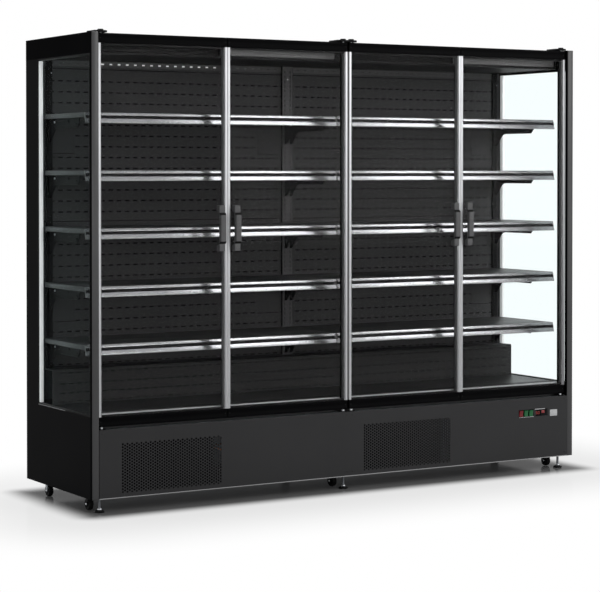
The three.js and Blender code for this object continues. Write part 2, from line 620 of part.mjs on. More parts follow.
/** The finned evaporator in the lower duct box, its fins open at the top. */
function addEvaporator() {
  const front = DUCT_BOX_FRONT_Y + PANEL_SHEET + EVAPORATOR_FRONT_GAP;
  const under = DECK_TOP_Z + SEAT;
  const top = under + EVAPORATOR_HEIGHT;
  const pitch = EVAPORATOR_WIDTH / (2 * EVAPORATOR_FINS - 1);
  const comb = range(EVAPORATOR_FINS).flatMap((index) => {
    const left = -EVAPORATOR_WIDTH / 2 + 2 * index * pitch;
    const fin = [
      [left, top],
      [left + pitch, top],
    ];
    const groove = [
      [left + pitch, top - FIN_GROOVE],
      [left + 2 * pitch, top - FIN_GROOVE],
    ];
    return index < EVAPORATOR_FINS - 1 ? [...fin, ...groove] : fin;
  });
  const floor = [
    [EVAPORATOR_WIDTH / 2, under],
    [-EVAPORATOR_WIDTH / 2, under],
  ];
  const coil = alongY(outline([...comb, ...floor]), [front, front + EVAPORATOR_DEPTH]);
  addPiece("evaporator", coil, BRIGHT_METAL);
}

// --- Casing ---------------------------------------------------------------------------------------

/** An end frame on the side given by -1 or 1: a post, a rear post and bands round a window. */
function addEnd(name, side) {
  const across = (from, to) => [side * from, side * to].sort((a, b) => a - b);
  const window = {
    y: [FRONT_Y + POST_DEPTH, BACK_Y - REAR_POST_DEPTH],
    z: [BASE_Z + LOWER_BAND, ROOF_TOP_Z - TOP_BAND],
  };
  const plateX = across(HALF_WIDTH, HALF_WIDTH - END_THICKNESS);
  const postX = across(HALF_WIDTH, HALF_WIDTH - POST_WIDTH);
  const height = [BASE_Z, ROOF_TOP_Z];
  const frame = join([
    block(plateX, [FRONT_Y, BACK_Y], height),
    block(postX, [FRONT_Y, FRONT_Y + POST_DEPTH], height),
  ]);
  const opening = block(across(HALF_WIDTH + 1, HALF_WIDTH - END_THICKNESS - 1), window.y, window.z);
  addPiece(`${name}_end_frame`, cut(frame, [opening]), DARK_PAINT);
  const glassOut = HALF_WIDTH - END_GLASS_INSET;
  const inside = ([from, to]) => [from + SEAT, to - SEAT];
  const pane = block(across(glassOut, glassOut - END_GLASS_THICKNESS), inside(window.y), inside(window.z));
  addPiece(`${name}_end_glass`, pane, GLASS);
}

function addCasing() {
  const full = around(0, INNER_X);
  const backZ = [BASE_Z, ROOF_UNDER_Z - SEAT];
  const through = [BACK_FRONT_Y - 1, BACK_Y + 1];
  const vents = VENT_CENTRES.flatMap((x) =>
    range(VENT_SLOTS).map((row) => {
      const foot = BASE_Z + VENT_BOTTOM + row * VENT_SLOT_PITCH;
      return block(around(x, VENT_SLOT_LENGTH / 2), through, [foot, foot + VENT_SLOT_HEIGHT]);
    }),
  );
  const back = cut(block(full, [BACK_FRONT_Y, BACK_Y], backZ), vents);
  addPiece("outer_back_panel", back, GALVANISED);
  const roof = block(full, [FRONT_Y + ROOF_FRONT, BACK_Y], [ROOF_UNDER_Z, ROOF_TOP_Z]);
  addPiece("roof_panel", roof, DARK_PAINT);
}

/** The air canopy under the roof: a folded sheet, open at the top. */
function addCanopy() {
  const [front, back] = [FRONT_Y + CANOPY_FRONT, DUCT_FRONT_Y - SEAT];
  const [under, top] = [CANOPY_UNDER_Z, ROOF_UNDER_Z - SEAT];
  const profile = outline([
    [front, under],
    [back, under],
    [back, top],
    [back - PANEL_SHEET, top],
    [back - PANEL_SHEET, under + PANEL_SHEET],
    [front + PANEL_SHEET, under + PANEL_SHEET],
    [front + PANEL_SHEET, top],
    [front, top],
  ]);
  addPiece("canopy", alongX(profile, around(0, INNER_X)), BLACK_PAINT);
}

/** The sheet in front of the rear air duct, stepping forward over the evaporator at the bottom. */
function addRearDuct() {
  const [deck, top] = [DECK_TOP_Z + SEAT, ROOF_UNDER_Z - SEAT];
  const profile = outline([
    [DUCT_BOX_FRONT_Y, deck],
    [DUCT_BOX_FRONT_Y + PANEL_SHEET, deck],
    [DUCT_BOX_FRONT_Y + PANEL_SHEET, DUCT_BOX_TOP_Z - PANEL_SHEET],
    [DUCT_FRONT_Y + PANEL_SHEET, DUCT_BOX_TOP_Z - PANEL_SHEET],
    [DUCT_FRONT_Y + PANEL_SHEET, top],
    [DUCT_FRONT_Y, top],
    [DUCT_FRONT_Y, DUCT_BOX_TOP_Z],
    [DUCT_BOX_FRONT_Y, DUCT_BOX_TOP_Z],
  ]);
  addPiece("rear_duct_panel", alongX(profile, around(0, INNER_X)), BLACK_PAINT);
}

// --- Shelf uprights and shelves ---------------------------------------------------------------------

const SLOT_COLUMNS = [-END_UPRIGHT_X, -SLOT_FROM_CENTRE, SLOT_FROM_CENTRE, END_UPRIGHT_X];
const shelfTop = (level) => BASE_Z + FIRST_SHELF + level * SHELF_PITCH;

function addUprights() {
  const foot = DUCT_BOX_TOP_Z + SEAT;
  const head = CANOPY_UNDER_Z - SEAT;
  const thickness = [UPRIGHT_FRONT_Y, UPRIGHT_BACK_Y];
  const between = around(0, END_UPRIGHT_X);
  const body = join([
    block(around(-END_UPRIGHT_X, END_UPRIGHT_WIDTH / 2), thickness, [foot, head]),
    block(around(0, CENTRE_UPRIGHT_WIDTH / 2), thickness, [foot, head]),
    block(around(END_UPRIGHT_X, END_UPRIGHT_WIDTH / 2), thickness, [foot, head]),
    block(between, thickness, [foot, foot + UPRIGHT_RAIL]),
    block(between, thickness, [head - UPRIGHT_RAIL, head]),
  ]);
  const slotHalf = BRACKET_SHEET / 2 + SEAT;
  const slots = SLOT_COLUMNS.flatMap((x) =>
    range(SHELF_COUNT).flatMap((level) =>
      HOOK_DROPS.map((drop) => {
        const top = shelfTop(level) - drop;
        const slotZ = [top - HOOK_HEIGHT - SEAT, top + SEAT];
        return block(around(x, slotHalf), [UPRIGHT_FRONT_Y - 1, UPRIGHT_BACK_Y + 1], slotZ);
      }),
    ),
  );
  addPiece("upright_frame", cut(body, slots), BLACK_PAINT);
}

/** A shelf bracket against the upright, with its hooks in the slots. */
function bracket(x, top) {
  const seat = UPRIGHT_FRONT_Y - SEAT;
  const legZ = top - BRACKET_LEG;
  const armZ = top - BRACKET_ARM_DROP;
  const tip = seat - BRACKET_ARM_LENGTH;
  const heel = seat - BRACKET_LEG_WIDTH;
  const side = new THREE.Shape();
  side.moveTo(seat, top - TRAY_SHEET / 2);
  side.lineTo(tip, top - TRAY_SHEET / 2);
  side.lineTo(tip, armZ + BRACKET_CHAMFER);
  side.lineTo(tip + BRACKET_CHAMFER, armZ);
  side.lineTo(heel - BRACKET_FILLET, armZ);
  side.quadraticCurveTo(heel - BRACKET_LEG_WIDTH / 2, armZ, heel, legZ);
  side.lineTo(seat, legZ);
  const sheet = around(x, BRACKET_SHEET / 2);
  return join([
    alongX(side, sheet),
    ...HOOK_DROPS.map((drop) => {
      const hookZ = [top - drop - HOOK_HEIGHT, top - drop];
      return block(sheet, [seat - 1, UPRIGHT_FRONT_Y + HOOK_DEPTH], hookZ);
    }),
  ]);
}

/** The price rail across the front of a shelf: two lips with the label channel between them. */
function priceRail(across, top) {
  const topY = FRONT_Y + SHELF_FRONT;
  const face = (drop) => topY - (RAIL_LEAN * drop) / RAIL_HEIGHT;
  const channelTop = RAIL_UPPER_LIP;
  const channelFoot = RAIL_HEIGHT - RAIL_LOWER_LIP;
  const back = RAIL_CHANNEL + RAIL_SHEET;
  const profile = outline([
    [face(0), top],
    [face(channelTop), top - channelTop],
    [face(channelTop) + RAIL_CHANNEL, top - channelTop],
    [face(channelFoot) + RAIL_CHANNEL, top - channelFoot],
    [face(channelFoot), top - channelFoot],
    [face(RAIL_HEIGHT), top - RAIL_HEIGHT],
    [face(RAIL_HEIGHT) + back, top - RAIL_HEIGHT],
    [topY + back, top - RAIL_SHEET],
    [topY + back, top],
  ]);
  return alongX(profile, across);
}

/** A tray with its skirts, its price rail and the two brackets that carry it. */
function addShelf(name, across, bracketXs, top) {
  const front = FRONT_Y + SHELF_FRONT + RAIL_CHANNEL;
  const back = UPRIGHT_FRONT_Y - SEAT - SHELF_BACK_GAP;
  const skirtZ = [top - TRAY_SKIRT, top];
  const solid = join([
    block(across, [front, back], [top - TRAY_SHEET, top]),
    block([across[0], across[0] + TRAY_SHEET], [front, back], skirtZ),
    block([across[1] - TRAY_SHEET, across[1]], [front, back], skirtZ),
    block(across, [back - TRAY_SHEET, back], skirtZ),
    priceRail(across, top),
    ...bracketXs.map((x) => bracket(x, top)),
  ]);
  addPiece(name, solid, BLACK_PAINT);
}

function addShelves() {
  const outer = HALF_WIDTH - END_THICKNESS - SHELF_END_GAP;
  const columns = {
    left: { across: [-outer, -SHELF_CENTRE_GAP], brackets: SLOT_COLUMNS.slice(0, 2) },
    right: { across: [SHELF_CENTRE_GAP, outer], brackets: SLOT_COLUMNS.slice(2) },
  };
  for (const [side, { across, brackets }] of Object.entries(columns))
    for (const level of range(SHELF_COUNT))
      addShelf(`shelf_${side}_${level + 1}`, across, brackets, shelfTop(level));
}

// --- Doors and hinges ---------------------------------------------------------------------------------

const pivotX = ({ left, hinge }) =>
  hinge === "left" ? left + PIVOT_FROM_EDGE : left + DOOR_WIDTH - PIVOT_FROM_EDGE;

/** The bow handle in (y, z), its feet on the plane y = seat. */
function handleOutline(seat, foot) {
  const grip = seat - HANDLE_DEPTH;
  const shoulder = seat - HANDLE_FOOT_DEPTH;
  const gap = seat - FINGER_DEPTH;
  const head = foot + HANDLE_LENGTH;
  const [lowFoot, highFoot] = [foot + HANDLE_FOOT, head - HANDLE_FOOT];
  return outline([
    [seat, foot],
    [seat, lowFoot - HANDLE_SHOULDER],
    [gap, lowFoot],
    [gap, highFoot],
    [seat, highFoot + HANDLE_SHOULDER],
    [seat, head],
    [shoulder, head],
    [shoulder, highFoot],
    [grip, highFoot - HANDLE_SHOULDER],
    [grip, lowFoot + HANDLE_SHOULDER],
    [shoulder, lowFoot],
    [shoulder, foot],
  ]);
}

function addDoor(door, number) {
  const right = door.left + DOOR_WIDTH;
  const thickness = [DOOR_FRONT_Y, DOOR_BACK_Y];
  const ring = cut(block([door.left, right], thickness, [DOOR_BOTTOM_Z, DOOR_TOP_Z]), [
    block(
      [door.left + STILE, right - STILE],
      [DOOR_FRONT_Y - 1, DOOR_BACK_Y + 1],
      [DOOR_BOTTOM_Z + RAIL, DOOR_TOP_Z - RAIL],
    ),
  ]);
  const pivot = [pivotX(door), PIVOT_Y];
  const holes = [
    rod("z", HINGE_PIN_RADIUS + PLAY, [DOOR_BOTTOM_Z - 1, DOOR_BOTTOM_Z + PIN_HOLE_DEPTH], pivot),
    rod("z", HINGE_PIN_RADIUS + PLAY, [DOOR_TOP_Z - PIN_HOLE_DEPTH, DOOR_TOP_Z + 1], pivot),
  ];
  addPiece(`door_${number}_frame`, cut(ring, holes), BLACK_PAINT);

  const glassFront = DOOR_FRONT_Y + DOOR_GLASS_INSET;
  const glass = block(
    [door.left + STILE + SEAT, right - STILE - SEAT],
    [glassFront, glassFront + DOOR_GLASS_THICKNESS],
    [DOOR_BOTTOM_Z + RAIL + SEAT, DOOR_TOP_Z - RAIL - SEAT],
  );
  addPiece(`door_${number}_glass`, glass, GLASS);

  const handleLeft =
    door.hinge === "left" ? right - HANDLE_INSET - HANDLE_WIDTH : door.left + HANDLE_INSET;
  const handleFoot = BASE_Z + HANDLE_CENTRE - HANDLE_LENGTH / 2;
  const bow = handleOutline(glassFront - SEAT, handleFoot);
  const handle = alongX(bow, [handleLeft, handleLeft + HANDLE_WIDTH]);
  addPiece(`door_${number}_handle`, handle, BLACK_PLASTIC);
}

/** A hinge plate round its pivots, with chamfered front corners. */
function hingePlate([left, right], [front, back], heights) {
  return alongZ(
    outline([
      [left, back],
      [left, front + HINGE_CHAMFER],
      [left + HINGE_CHAMFER, front],
      [right - HINGE_CHAMFER, front],
      [right, front + HINGE_CHAMFER],
      [right, back],
    ]),
    heights,
  );
}

/** A plate on the roof with a boss and a pin down into the door at each pivot. */
function topHinge(pivots) {
  const across = [Math.min(...pivots) - TOP_PLATE_HALF, Math.max(...pivots) + TOP_PLATE_HALF];
  const depth = [PIVOT_Y - HINGE_NOSE, FRONT_Y + ROOF_FRONT + TOP_PLATE_REACH];
  const under = ROOF_TOP_Z + SEAT;
  const face = under + TOP_PLATE;
  return join([
    hingePlate(across, depth, [under, face]),
    ...pivots.flatMap((x) => [
      rod("z", BOSS_RADIUS, [face - 1, face + BOSS_HEIGHT], [x, PIVOT_Y], 20),
      rod("z", HINGE_PIN_RADIUS, [DOOR_TOP_Z - PIN_ENGAGEMENT, face - 1], [x, PIVOT_Y]),
    ]),
  ]);
}

/** A plate on the chassis with a collar under the door and a pin up into it at each pivot. */
function bottomHinge(pivots) {
  const across = [Math.min(...pivots) - BOTTOM_PLATE_HALF, Math.max(...pivots) + BOTTOM_PLATE_HALF];
  const depth = [PIVOT_Y - HINGE_NOSE, PIVOT_Y + BOTTOM_PLATE_REACH];
  const under = CHASSIS_TOP_Z + SEAT;
  const face = under + BOTTOM_PLATE;
  return join([
    hingePlate(across, depth, [under, face]),
    ...pivots.flatMap((x) => [
      rod("z", COLLAR_RADIUS, [face - 1, DOOR_BOTTOM_Z - SEAT], [x, PIVOT_Y], 16),
      rod("z", HINGE_PIN_RADIUS, [face - 1, DOOR_BOTTOM_Z + PIN_ENGAGEMENT], [x, PIVOT_Y]),
    ]),
  ]);
}

function addHinges() {
  const groups = { left: [DOORS[0]], centre: [DOORS[1], DOORS[2]], right: [DOORS[3]] };
  for (const [place, doors] of Object.entries(groups)) {
    const pivots = doors.map(pivotX);
    addPiece(`top_hinge_${place}`, topHinge(pivots), BLACK_PAINT);
    addPiece(`bottom_hinge_${place}`, bottomHinge(pivots), GALVANISED);
  }
}

// --- The whole fridge ---------------------------------------------------------------------------------

addCastersAndFeet();
addChassis();
addKickPanel();
addRockers();
addThermostat();
addDeck();
addCondensingUnit();
addFans();
addEvaporator();
addEnd("left", -1);
addEnd("right", 1);
addCasing();
addCanopy();
addRearDuct();
addUprights();
addShelves();
DOORS.forEach((door, index) => addDoor(door, index + 1));
addHinges();

export default fridge;
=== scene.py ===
"""Dresses the four-door multideck display fridge for Blender, in metres in the part's own frame.

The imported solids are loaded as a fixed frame. Sub-assemblies then stand in for the plain solids,
or dress them, in the order of assembly: base, casing, interior, doors, controls and running gear.
"""

import logging
import math
from dataclasses import dataclass
from enum import Enum
from typing import Iterable, Sequence

import bmesh
import bpy
from mathutils import Matrix, Vector


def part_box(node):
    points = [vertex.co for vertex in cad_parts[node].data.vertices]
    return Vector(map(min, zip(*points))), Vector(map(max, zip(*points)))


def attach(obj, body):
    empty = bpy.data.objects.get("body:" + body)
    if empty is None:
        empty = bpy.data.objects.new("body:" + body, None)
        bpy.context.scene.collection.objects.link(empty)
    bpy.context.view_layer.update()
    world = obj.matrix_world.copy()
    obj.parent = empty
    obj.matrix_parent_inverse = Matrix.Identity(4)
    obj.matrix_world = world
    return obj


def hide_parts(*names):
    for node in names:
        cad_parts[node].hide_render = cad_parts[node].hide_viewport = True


MM = 0.001
CREASE = math.radians(32)  # edges sharper than this stay sharp under smooth shading
Pair = tuple[float, float]
Point = tuple[float, float, float]
Windows = tuple[Sequence[Pair], Sequence[Pair]]  # spans across by spans up, each crossing open
Mesh = bmesh.types.BMesh
Node = bpy.types.Node
Socket = bpy.types.NodeSocket
Tree = bpy.types.NodeTree

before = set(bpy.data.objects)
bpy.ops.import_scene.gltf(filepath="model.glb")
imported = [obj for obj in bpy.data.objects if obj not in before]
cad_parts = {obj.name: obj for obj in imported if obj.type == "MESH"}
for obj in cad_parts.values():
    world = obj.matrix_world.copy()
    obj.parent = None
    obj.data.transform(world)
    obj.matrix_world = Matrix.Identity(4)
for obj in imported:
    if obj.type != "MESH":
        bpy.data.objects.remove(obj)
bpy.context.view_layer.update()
log = logging.getLogger("fridge")


# --- Node and colour helpers --------------------------------------------------------------------


def linear(hex_colour: str) -> tuple[float, float, float, float]:
    """Turns an sRGB hex colour into linear light.

    Args:
        hex_colour: Six hex digits after a hash.

    Returns:
        Red, green, blue and an alpha of one.
    """
    shares = [int(hex_colour[i : i + 2], 16) / 255 for i in (1, 3, 5)]
    r, g, b = (c / 12.92 if c <= 0.04045 else ((c + 0.055) / 1.055) ** 2.4 for c in shares)
    return r, g, b, 1.0


def add(tree: Tree, kind: str, settings: dict | None = None, links: dict | None = None) -> Node:
    """Adds a node with its settings and its incoming links.

    Args:
        tree: The node tree that receives it.
        kind: Blender's type name without its ShaderNode prefix.
        settings: Values by input name or index, or by property name.
        links: Output sockets by input name or index.

    Returns:
        The node.
    """
    node = tree.nodes.new(f"ShaderNode{kind}")
    for key, value in (settings or {}).items():
        if isinstance(key, int) or key in node.inputs:
            node.inputs[key].default_value = value
        else:
            setattr(node, key, value)
    for key, socket in (links or {}).items():
        tree.links.new(socket, node.inputs[key])
    return node


def empty_tree(owner: bpy.types.ID) -> Tree:
    """Clears the node tree of a new material or world.

    Args:
        owner: The material or world.

    Returns:
        Its node tree, without nodes.
    """
    owner.use_nodes = True
    owner.node_tree.nodes.clear()
    return owner.node_tree


def stand(name: str, data: bpy.types.ID) -> bpy.types.Object:
    """Links a new object into the scene.

    Args:
        name: Its name.
        data: Its mesh, lamp or camera.

    Returns:
        The object.
    """
    made = bpy.data.objects.new(name, data)
    bpy.context.scene.collection.objects.link(made)
    return made


# --- Finishes -----------------------------------------------------------------------------------


@dataclass(frozen=True)
class Finish:
    """A smooth surface of one colour, the base of every finish."""

    name: str
    colour: str
    roughness: float = 0.5
    metallic: float = 0.0
    specular: float = 0.5
    lighter: str = "#ffffff"  # the lightest tone of its pattern

    def material(self) -> bpy.types.Material:
        """Makes the Blender material on first use.

        Returns:
            The material, the same one each time.
        """
        made = bpy.data.materials.get(self.name)
        if made is not None:
            return made
        made = bpy.data.materials.new(self.name)
        tree = empty_tree(made)
        constants = {
            "Base Color": linear(self.colour),
            "Roughness": self.roughness,
            "Metallic": self.metallic,
            "Specular IOR Level": self.specular,
        }
        shader = add(tree, "BsdfPrincipled", constants)
        out = add(tree, "OutputMaterial", links={"Surface": shader.outputs[0]})
        self.dress(tree, shader, out)
        return made

    def dress(self, tree: Tree, shader: Node, out: Node) -> None:
        """Adds the finish's pattern; a plain finish has none."""

    def place(self, tree: Tree, stretch: Point = (1, 1, 1)) -> Socket:
        """The object's own coordinates in metres, scaled along each axis."""
        where = add(tree, "TexCoord").outputs["Object"]
        return add(tree, "Mapping", {"Scale": stretch}, {"Vector": where}).outputs[0]

    def shade(self, tree: Tree, share: Socket, darker: str, lighter: str) -> Socket:
        """A colour socket that runs from darker to lighter with the socket share."""
        settings = {"data_type": "RGBA", 6: linear(darker), 7: linear(lighter)}
        return add(tree, "Mix", settings, {0: share}).outputs[2]

    def ramp(self, tree: Tree, share: Socket, low: float, high: float) -> Socket:
        """A number socket that runs from low to high with the socket share."""
        settings = {"To Min": low, "To Max": high}
        return add(tree, "MapRange", settings, {"Value": share}).outputs[0]

    def bump(self, tree: Tree, shader: Node, height: Socket, depth_mm: float) -> None:
        """Raises the surface by depth_mm where the socket height is one."""
        node = add(tree, "Bump", {"Strength": 1.0, "Distance": depth_mm * MM}, {"Height": height})
        tree.links.new(node.outputs[0], shader.inputs["Normal"])

    def tint(self, tree: Tree, shader: Node, tone: Socket, gloss: Socket, sweep: Pair) -> None:
        """Lets colour and roughness vary over the surface.

        Args:
            tree: The material's node tree.
            shader: Its surface shader.
            tone: Zero for the finish's colour, one for its lightest tone.
            gloss: Zero and one for the two ends of the sweep.
            sweep: What is added to the roughness at each end.
        """
        colour = self.shade(tree, tone, self.colour, self.lighter)
        tree.links.new(colour, shader.inputs["Base Color"])
        rough = self.ramp(tree, gloss, self.roughness + sweep[0], self.roughness + sweep[1])
        tree.links.new(rough, shader.inputs["Roughness"])


@dataclass(frozen=True)
class PowderCoat(Finish):
    """Polyester powder baked on steel: a slight orange peel and a faint cloudiness in its gloss."""

    peel_mm: float = 1.6  # width of one ripple of the orange peel
    cloud_mm: float = 260.0
    peel_depth: float = 0.03
    speck_mm: float = 0.9

    def dress(self, tree: Tree, shader: Node, out: Node) -> None:
        """Orange peel as bump, clouds in colour and gloss.

        Args:
            tree: The material's node tree.
            shader: Its surface shader.
            out: Its output node.
        """
        at = {"Vector": self.place(tree)}
        cloud = add(tree, "TexNoise", {"Scale": 1 / (self.cloud_mm * MM), "Detail": 3.0}, at).outputs[0]
        speck = add(tree, "TexNoise", {"Scale": 1 / (self.speck_mm * MM), "Detail": 1.0}, at).outputs[0]
        both = add(tree, "Math", {"operation": "MULTIPLY_ADD", 1: 0.3}, {0: speck, 2: cloud}).outputs[0]
        self.tint(tree, shader, self.ramp(tree, both, -0.15, 0.75), cloud, (-0.07, 0.07))
        peel = add(tree, "TexNoise", {"Scale": 1 / (self.peel_mm * MM), "Detail": 2.0}, at).outputs[0]
        self.bump(tree, shader, peel, self.peel_depth)


@dataclass(frozen=True)
class ZincSheet(Finish):
    """Hot-dip galvanised steel: crystals of zinc that catch the light one by one."""

    crystal_mm: float = 11.0
    streak_mm: float = 60.0
    rolled_mm: float = 0.7
    rolled_depth: float = 0.015

    def dress(self, tree: Tree, shader: Node, out: Node) -> None:
        """Crystals in colour and gloss, and a rolled texture in the bump.

        Args:
            tree: The material's node tree.
            shader: Its surface shader.
            out: Its output node.
        """
        at = {"Vector": self.place(tree)}
        crystal = add(tree, "TexVoronoi", {"Scale": 1 / (self.crystal_mm * MM)}, at).outputs["Color"]
        grey = add(tree, "RGBToBW", links={0: crystal}).outputs[0]
        streak = add(tree, "TexNoise", {"Scale": 1 / (self.streak_mm * MM), "Detail": 4.0}, at).outputs[0]
        both = add(tree, "Math", {"operation": "MULTIPLY_ADD", 1: 0.6}, {0: grey, 2: streak}).outputs[0]
        self.tint(tree, shader, self.ramp(tree, both, -0.2, 0.8), grey, (-0.12, 0.12))
        rolled = add(tree, "TexNoise", {"Scale": 1 / (self.rolled_mm * MM), "Detail": 1.0}, at).outputs[0]
        self.bump(tree, shader, rolled, self.rolled_depth)


class Grain(Enum):
    """The direction that a brushed or drawn surface's lines run in."""

    ALONG_X = (1 / 90, 1.0, 1.0)
    ALONG_Y = (1.0, 1 / 90, 1.0)
    ALONG_Z = (1.0, 1.0, 1 / 90)


@dataclass(frozen=True)
class DrawnMetal(Finish):
    """Extruded or brushed metal: fine lines along the way that it was drawn."""

    grain: Grain = Grain.ALONG_X
    line_mm: float = 0.7  # drawn wider than the real 0.1 mm lines so that they show
    line_depth: float = 0.01
    slow_mm: float = 240.0

    def dress(self, tree: Tree, shader: Node, out: Node) -> None:
        """Lines in colour, gloss and bump, over a slow change along the length.

        Args:
            tree: The material's node tree.
            shader: Its surface shader.
            out: Its output node.
        """
        drawn, at = {"Vector": self.place(tree, self.grain.value)}, {"Vector": self.place(tree)}
        lines = add(tree, "TexNoise", {"Scale": 1 / (self.line_mm * MM), "Detail": 3.0}, drawn).outputs[0]
        slow = add(tree, "TexNoise", {"Scale": 1 / (self.slow_mm * MM), "Detail": 2.0}, at).outputs[0]
        both = add(tree, "Math", {"operation": "MULTIPLY_ADD", 1: 0.5}, {0: lines, 2: slow}).outputs[0]
        self.tint(tree, shader, self.ramp(tree, both, -0.25, 0.9), lines, (-0.08, 0.1))
        self.bump(tree, shader, lines, self.line_depth)


@dataclass(frozen=True)
class Moulded(Finish):
    """Injection-moulded plastic or rubber: the fine spark-eroded grain of the mould."""

    grain_mm: float = 0.5
    grain_depth: float = 0.02
    patch_mm: float = 45.0

    def dress(self, tree: Tree, shader: Node, out: Node) -> None:
        """Grain as bump, with rubbed patches a little glossier.

        Args:
            tree: The material's node tree.
            shader: Its surface shader.
            out: Its output node.
        """
        at = {"Vector": self.place(tree)}
        patch = add(tree, "TexNoise", {"Scale": 1 / (self.patch_mm * MM), "Detail": 3.0}, at).outputs[0]
        self.tint(tree, shader, patch, patch, (0.08, -0.08))
        grain = add(tree, "TexNoise", {"Scale": 1 / (self.grain_mm * MM), "Detail": 1.0}, at).outputs[0]
        self.bump(tree, shader, grain, self.grain_depth)


@dataclass(frozen=True)
class PaneGlass(Finish):
    """Coated display glass: clear, nearly free of reflections, and lamps shine through it."""

    ior: float = 1.06
    lamp_tint: str = "#f8f8f8"

    def dress(self, tree: Tree, shader: Node, out: Node) -> None:
        """Full transmission, and a clear way for rays towards lamps.

        Args:
            tree: The material's node tree.
            shader: Its surface shader.
            out: Its output node.
        """
        shader.inputs["Transmission Weight"].default_value = 1.0
        shader.inputs["IOR"].default_value = self.ior
        to_lamp = add(tree, "LightPath").outputs["Is Shadow Ray"]
        clear = add(tree, "BsdfTransparent", {"Color": linear(self.lamp_tint)}).outputs[0]
        mix = add(tree, "MixShader", links={0: to_lamp, 1: shader.outputs[0], 2: clear})
        tree.links.new(mix.outputs[0], out.inputs["Surface"])


@dataclass(frozen=True)
class Lit(Finish):
    """A diffuser or display segment with light behind it."""

    glow: float = 1.0
    between: str = "#9a9a9a"  # the tone between two diodes
    diode_mm: float = 30.0

    def dress(self, tree: Tree, shader: Node, out: Node) -> None:
        """Emits its own colour, with a faint unevenness of the diodes behind.

        Args:
            tree: The material's node tree.
            shader: Its surface shader.
            out: Its output node.
        """
        shader.inputs["Emission Strength"].default_value = self.glow
        at = {"Vector": self.place(tree)}
        diode = add(tree, "TexNoise", {"Scale": 1 / (self.diode_mm * MM), "Detail": 0.0}, at).outputs[0]
        colour = self.shade(tree, self.ramp(tree, diode, 0.6, 1.0), self.between, self.colour)
        tree.links.new(colour, shader.inputs["Emission Color"])


# Kick panel and roof in dark grey powder coat: an even satin grey with a slight orange peel.
DARK_PAINT = PowderCoat("dark_grey_powder_coat", "#2b2b2c", 0.42, 0.0, 0.14, lighter="#343435")
# Front posts in the same coat over extruded aluminium, smoother and glossier than the sheets, and painted a
# shade lighter than them as a painted highlight.
POST_HIGHLIGHT_PAINT = PowderCoat("post_powder_coat_with_painted_highlight", "#363637", 0.3, 0.0, 0.34, lighter="#404041")
# End panels in the same powder coat, painted a shade darker than the front as painted shade, where they face
# away from the light.
END_SHADE_PAINT = PowderCoat("end_panel_shaded_powder_coat", "#101011", 0.5, 0.0, 0.006, lighter="#151516")
# Black painted shade: a dark strip over the end panel's top edge, and strips down both sides of the front
# posts.
SHADE_BLACK_PAINT = PowderCoat("painted_shade_black_coat", "#050506", 0.6, 0.0, 0.004, lighter="#070708")
# Interior sheets in a flatter grey, darkened by the glass and the shade that they stand in.
INNER_PAINT = PowderCoat("interior_powder_coat", "#404041", 0.6, 0.0, 0.06, lighter="#4a4a4b")
# Box over the evaporator, painted darker than the wall as painted shade, for the shade of the lowest shelf.
BOX_SHADE_PAINT = PowderCoat("box_shaded_powder_coat", "#2b2b2c", 0.55, 0.0, 0.12, lighter="#343435")
# Faces of the shelf uprights, a shade lighter than the wall.
UPRIGHT_PAINT = PowderCoat("upright_powder_coat", "#484849", 0.45, 0.0, 0.25, lighter="#525253")
# Shelf brackets, hinge plates and the outer uprights in black powder coat.
BLACK_PAINT = PowderCoat("black_powder_coat", "#101011", 0.55, 0.0, 0.06, lighter="#161617")
# Top and bottom door rails in black anodised aluminium: nearly no reflection.
BLACK_ANODISED = DrawnMetal("black_anodised_aluminium", "#040405", 0.45, 0.0, 0.02, lighter="#080809")
# Chassis, back panel and fan straps in galvanised sheet: crystals that glint one by one.
ZINC = ZincSheet("galvanised_sheet", "#7c8185", 0.48, 0.85, lighter="#a2a7ab")
# Door stiles in silver anodised aluminium: flat faces that catch the light evenly.
STILE_METAL = DrawnMetal("silver_anodised_stile", "#98999b", 0.42, 1.0, grain=Grain.ALONG_Z,
                         lighter="#acadaf")
# Price rails in bright anodised aluminium, drawn along the shelf.
RAIL_METAL = DrawnMetal("bright_anodised_rail", "#808183", 0.22, 1.0, lighter="#8f9092")
# Hinge pins, bolts and caster forks in bright zinc plate.
PLATED = DrawnMetal("bright_zinc_plate", "#9ea1a5", 0.3, 1.0, grain=Grain.ALONG_Z, lighter="#c9cbce")
# Evaporator and condenser fins in mill-finish aluminium.
FIN_METAL = DrawnMetal("mill_finish_aluminium", "#a8aaad", 0.4, 1.0, grain=Grain.ALONG_Y,
                       lighter="#dcdde0")
# Copper refrigerant pipes.
COPPER = DrawnMetal("copper_tube", "#b5673f", 0.35, 1.0, lighter="#cf8358")
# Door handles in mid-grey ABS with a fine grain.
HANDLE_PLASTIC = Moulded("grained_grey_abs", "#545455", 0.5, 0.0, 0.25, lighter="#606061")
# Fans, bezels, window spacers and switch frames in black ABS.
BLACK_PLASTIC = Moulded("black_abs", "#0c0c0d", 0.45, 0.0, 0.12, lighter="#131314")
# Door gaskets, glazing beads, tyres and foot pads in matt black rubber.
RUBBER = Moulded("black_rubber", "#0f0f0f", 0.75, 0.0, 0.12, lighter="#171717", grain_mm=0.8)
# Blank plate beside the thermostat in satin silver polyester; the same silver also paints highlights along the
# rockers' trim and the display's top edge.
PLATE_AND_HIGHLIGHT = Moulded("satin_silver_plate_and_painted_highlight", "#b9babb", 0.45, 0.0, 0.4, lighter="#c6c7c8")
# Glossy lit rockers in polycarbonate.
RED_PLASTIC = Moulded("red_polycarbonate", "#5c0a12", 0.3, 0.0, 0.3, lighter="#84141e")
GREEN_PLASTIC = Moulded("green_polycarbonate", "#064e28", 0.3, 0.0, 0.3, lighter="#0e6a38")
